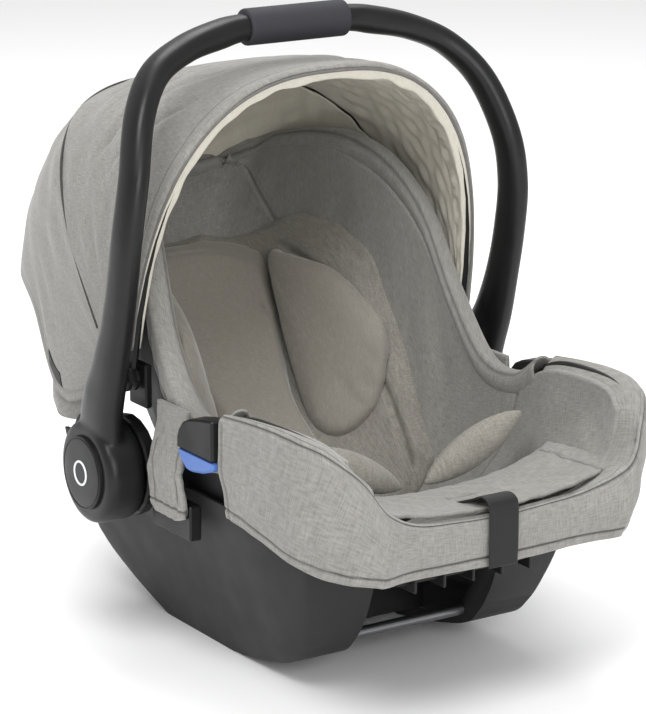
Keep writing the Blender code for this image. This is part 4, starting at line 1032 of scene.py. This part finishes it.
def hood_panel(first, last, t, turn, spread, sag):
    """Canopy fabric between two arches: lean, width and power change evenly with t."""
    lean = first["lean"] + (last["lean"] - first["lean"]) * t
    ends = [shape.get("reach", float(hood_reach(shape["lean"]))) for shape in (first, last)]
    reach = hood_reach(lean) - sag * 4 * t * (1 - t) * np.sin(turn) ** 0.5
    reach = reach + (ends[1] - float(hood_reach(last["lean"]))) * np.clip(t, 0, 1) ** 2
    width = first["half_width"] + (last["half_width"] - first["half_width"]) * t
    power = first["power"] + (last["power"] - first["power"]) * t
    if "dip" in last:
        up = np.abs(np.sin(turn)) ** (2 / power) * reach
        lean = lean + last["dip"] * t ** 2 / (1 + np.exp((up - 0.150) / 0.012))
    return hood_point(lean, turn, width + spread, reach + spread, power)


def crease(t, turn, start, end, width, depth):
    """Soft fold along a line over the canopy, deepest in its middle, in metres."""
    metres = np.array((0.28, 0.30))
    a, b = np.array(start) * metres, np.array(end) * metres
    p = np.stack([t, turn], axis=-1) * metres
    along = np.clip(((p - a) @ (b - a)) / ((b - a) @ (b - a)), 0, 1)
    gap = np.linalg.norm(p - (a + along[..., None] * (b - a)), axis=-1)
    return depth * groove(gap, width) * np.sin(math.pi * np.clip(along, 0.02, 0.98)) ** 0.7


def canopy_sheet(name, face, finish, thick, marks):
    """One sheet of the canopy, with its object transform baked into its mesh."""
    made = sheet_body(name, face, finish, thick, marks)
    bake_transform(made)
    return made


def canopy():
    """Two woven panels over the bows, cream lining within, piping on the seam and a bound rim.

    A grid runs from one arch (t = 0) to the next (t = 1), and round from one side to the other.
    """
    low = math.radians(1.6)
    turns = low + (math.pi - 2 * low) * (0.5 - 0.5 * np.cos(np.linspace(0, math.pi, 170)))
    turns = 0.65 * turns + 0.35 * np.linspace(low, math.pi - low, 170)
    lined = np.linspace(low * 2, math.pi - low * 2, 150)

    t, turn = np.meshgrid(np.linspace(-0.02, 1.0, 110), turns, indexing="ij")
    edge = np.clip(np.sin(turn) * 5, 0, 1)
    folds = sum(crease(t, turn, a, b, w, d) for a, b, w, d in (
        ((0.72, 2.55), (0.30, 1.75), 0.007, 0.0035), ((0.66, 2.45), (0.46, 1.60), 0.006, 0.0030),
        ((0.60, 2.60), (0.16, 2.05), 0.006, 0.0025), ((0.70, 0.65), (0.34, 1.35), 0.007, 0.0030),
        ((0.62, 0.55), (0.20, 1.05), 0.006, 0.0022), ((0.85, 2.2), (0.62, 1.3), 0.008, 0.0020)))
    band = groove(t - 0.042, 0.0045)
    bead = 0.0016 * np.clip(1 - np.abs(t - 0.010) / 0.030, 0, 1) ** 0.5
    soft = ripple(t * 4, turn * 2.2, 31) * 0.0010 * edge
    pinch = np.clip((-0.012 - t) / 0.009, 0, 1)
    spread = CLOTH_GAP + bead + (soft - folds) * edge - 0.0012 * band - 0.0016 * pinch
    face = hood_panel(FRONT_BOW, REAR_BOW, t, turn, spread, 0.0120)
    front = canopy_sheet("canopy_front_cloth", face[::-1], COVER_CLOTH, 0.0012, band[::-1] * 0.55)
    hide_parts("canopy_front_panel")

    t, turn = np.meshgrid(np.linspace(0.0, 1.0, 80), turns, indexing="ij")
    hem = groove(t - 0.955, 0.006)
    soft = ripple(t * 3, turn * 2.0, 41) * 0.0010 * np.clip(np.sin(turn) * 5, 0, 1)
    face = hood_panel(REAR_BOW, HOOD_HEM, t, turn, CLOTH_GAP + soft - 0.0010 * hem, 0.0)
    rear = canopy_sheet("canopy_rear_cloth", face[::-1], COVER_CLOTH, 0.0012, hem[::-1] * 0.55)
    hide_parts("canopy_rear_panel")

    t, turn = np.meshgrid(np.r_[np.linspace(-0.0205, -0.010, 8), np.linspace(-0.004, 0.985, 90)], lined,
                          indexing="ij")
    near_rim = np.clip(1 - np.abs(t - 0.085) / 0.07, 0, 1)
    gathers = 0.0016 * np.sin(turn * 85 + 2.0 * np.sin(turn * 17)) * near_rim
    sleeve = groove(t - 0.16, 0.010)
    pinch = np.clip((-0.012 - t) / 0.008, 0, 1)
    spread = (LINING_GAP + 0.0085 * pinch + gathers + 0.0016 * sleeve
              + 0.0012 * ripple(t * 6, turn * 5, 51))
    inside = hood_panel(FRONT_BOW, REAR_BOW, t, turn, spread, 0.0130)
    lining = canopy_sheet("canopy_front_lining", inside, LINING, 0.0009, sleeve * 0.35)

    t, turn = np.meshgrid(np.linspace(0.01, 0.97, 60), lined, indexing="ij")
    spread = LINING_GAP + 0.0010 * ripple(t * 6, turn * 5, 61)
    inside = hood_panel(REAR_BOW, HOOD_HEM, t, turn, spread, 0.0)
    lining = canopy_sheet("canopy_rear_lining", inside, LINING, 0.0009, None)

    arch = np.linspace(math.radians(3), math.pi - math.radians(3), 240)
    piping = hood_panel(REAR_BOW, HOOD_HEM, np.zeros(240), arch, 0.0072, 0.0)
    on_body(tube("canopy_seam_piping", piping, 0.0013, SEAM_THREAD, 8), "canopy_rear", "black_webbing")
    rim = hood_panel(FRONT_BOW, REAR_BOW, np.full(240, -0.0212), arch, 0.0042, 0.0)
    # The binding tube's darker tone is partly painted shade along the rim's shadowed edge.
    on_body(tube("canopy_rim_binding", rim, 0.0017, RIM_BINDING_AND_PAINTED_SHADE, 10), "canopy_front", "black_webbing")
    t, turn = np.meshgrid(np.linspace(0.885, 0.945, 12), np.linspace(2.93, 2.86, 12), indexing="ij")
    label = hood_panel(REAR_BOW, HOOD_HEM, t, turn, 0.0078, 0.0)
    canopy_sheet("blank_woven_label", label[::-1], BLACK_WEBBING, 0.0008, None)


# ---- studio ---------------------------------------------------------------------------------
def studio():
    """White floor and world, a soft key from the front left, a fill from the front and a top light."""
    floor = mesh_object("studio_floor", [(-6, -6, 0), (6, -6, 0), (6, 8, 0), (-6, 8, 0)], [(0, 1, 2, 3)],
                        new_material("matt_white_paper", Base_Color=linear("#fdfdfd"), Roughness=0.9)[0])
    world = bpy.data.worlds.new("white_room")
    world.use_nodes = True
    tree = world.node_tree
    seen = add_node(tree, "ShaderNodeLightPath").outputs["Is Camera Ray"]
    strength = add_node(tree, "ShaderNodeMapRange", {"Value": seen, "To Min": 0.66, "To Max": 1.0})
    background = tree.nodes["Background"]
    background.inputs["Color"].default_value = (1, 1, 1, 1)
    tree.links.new(strength.outputs[0], background.inputs["Strength"])
    bpy.context.scene.world = world
    bpy.context.scene.view_settings.view_transform = "Standard"
    for name, place, aim_z, size, power in (("key_softbox", (-1.6, -1.2, 3.0), 0.25, 1.8, 62.0),
                                            ("fill_softbox", (-0.6, -3.2, 1.4), 0.25, 2.0, 42.0),
                                            ("top_softbox", (0.6, 1.2, 3.0), 0.2, 2.2, 60.0)):
        lamp = bpy.data.lights.new(name, "AREA")
        lamp.shape = "DISK"
        lamp.size = size
        lamp.energy = power
        stand = bpy.data.objects.new(name, lamp)
        stand.location = place
        way = Vector((0, 0, aim_z)) - Vector(place)
        stand.rotation_euler = way.to_track_quat("-Z", "Y").to_euler()
        bpy.context.scene.collection.objects.link(stand)


def camera():
    """Long lens from the front left, a little above the seat's rim."""
    lens = bpy.data.cameras.new("camera")
    lens.lens = 153.78
    lens.sensor_width = 36.0
    eye = bpy.data.objects.new("camera", lens)
    target, place = Vector((0.0334, 0.0175, 0.2346)), Vector((-1.4467, -2.2615, 0.9730))
    eye.location = place
    eye.rotation_euler = (target - place).to_track_quat("-Z", "Y").to_euler()
    bpy.context.scene.collection.objects.link(eye)
    bpy.context.scene.camera = eye


studio()
camera()
seat_shell()
seat_cover()
rim_roll()
foot_cover()
side_flaps()
head_cover()
floor_pad()
back_pad()
newborn_insert()
thigh_wings()
side_panels()
under_body()
fittings()
adjuster_strap()
handle()
hub_fittings()
canopy()
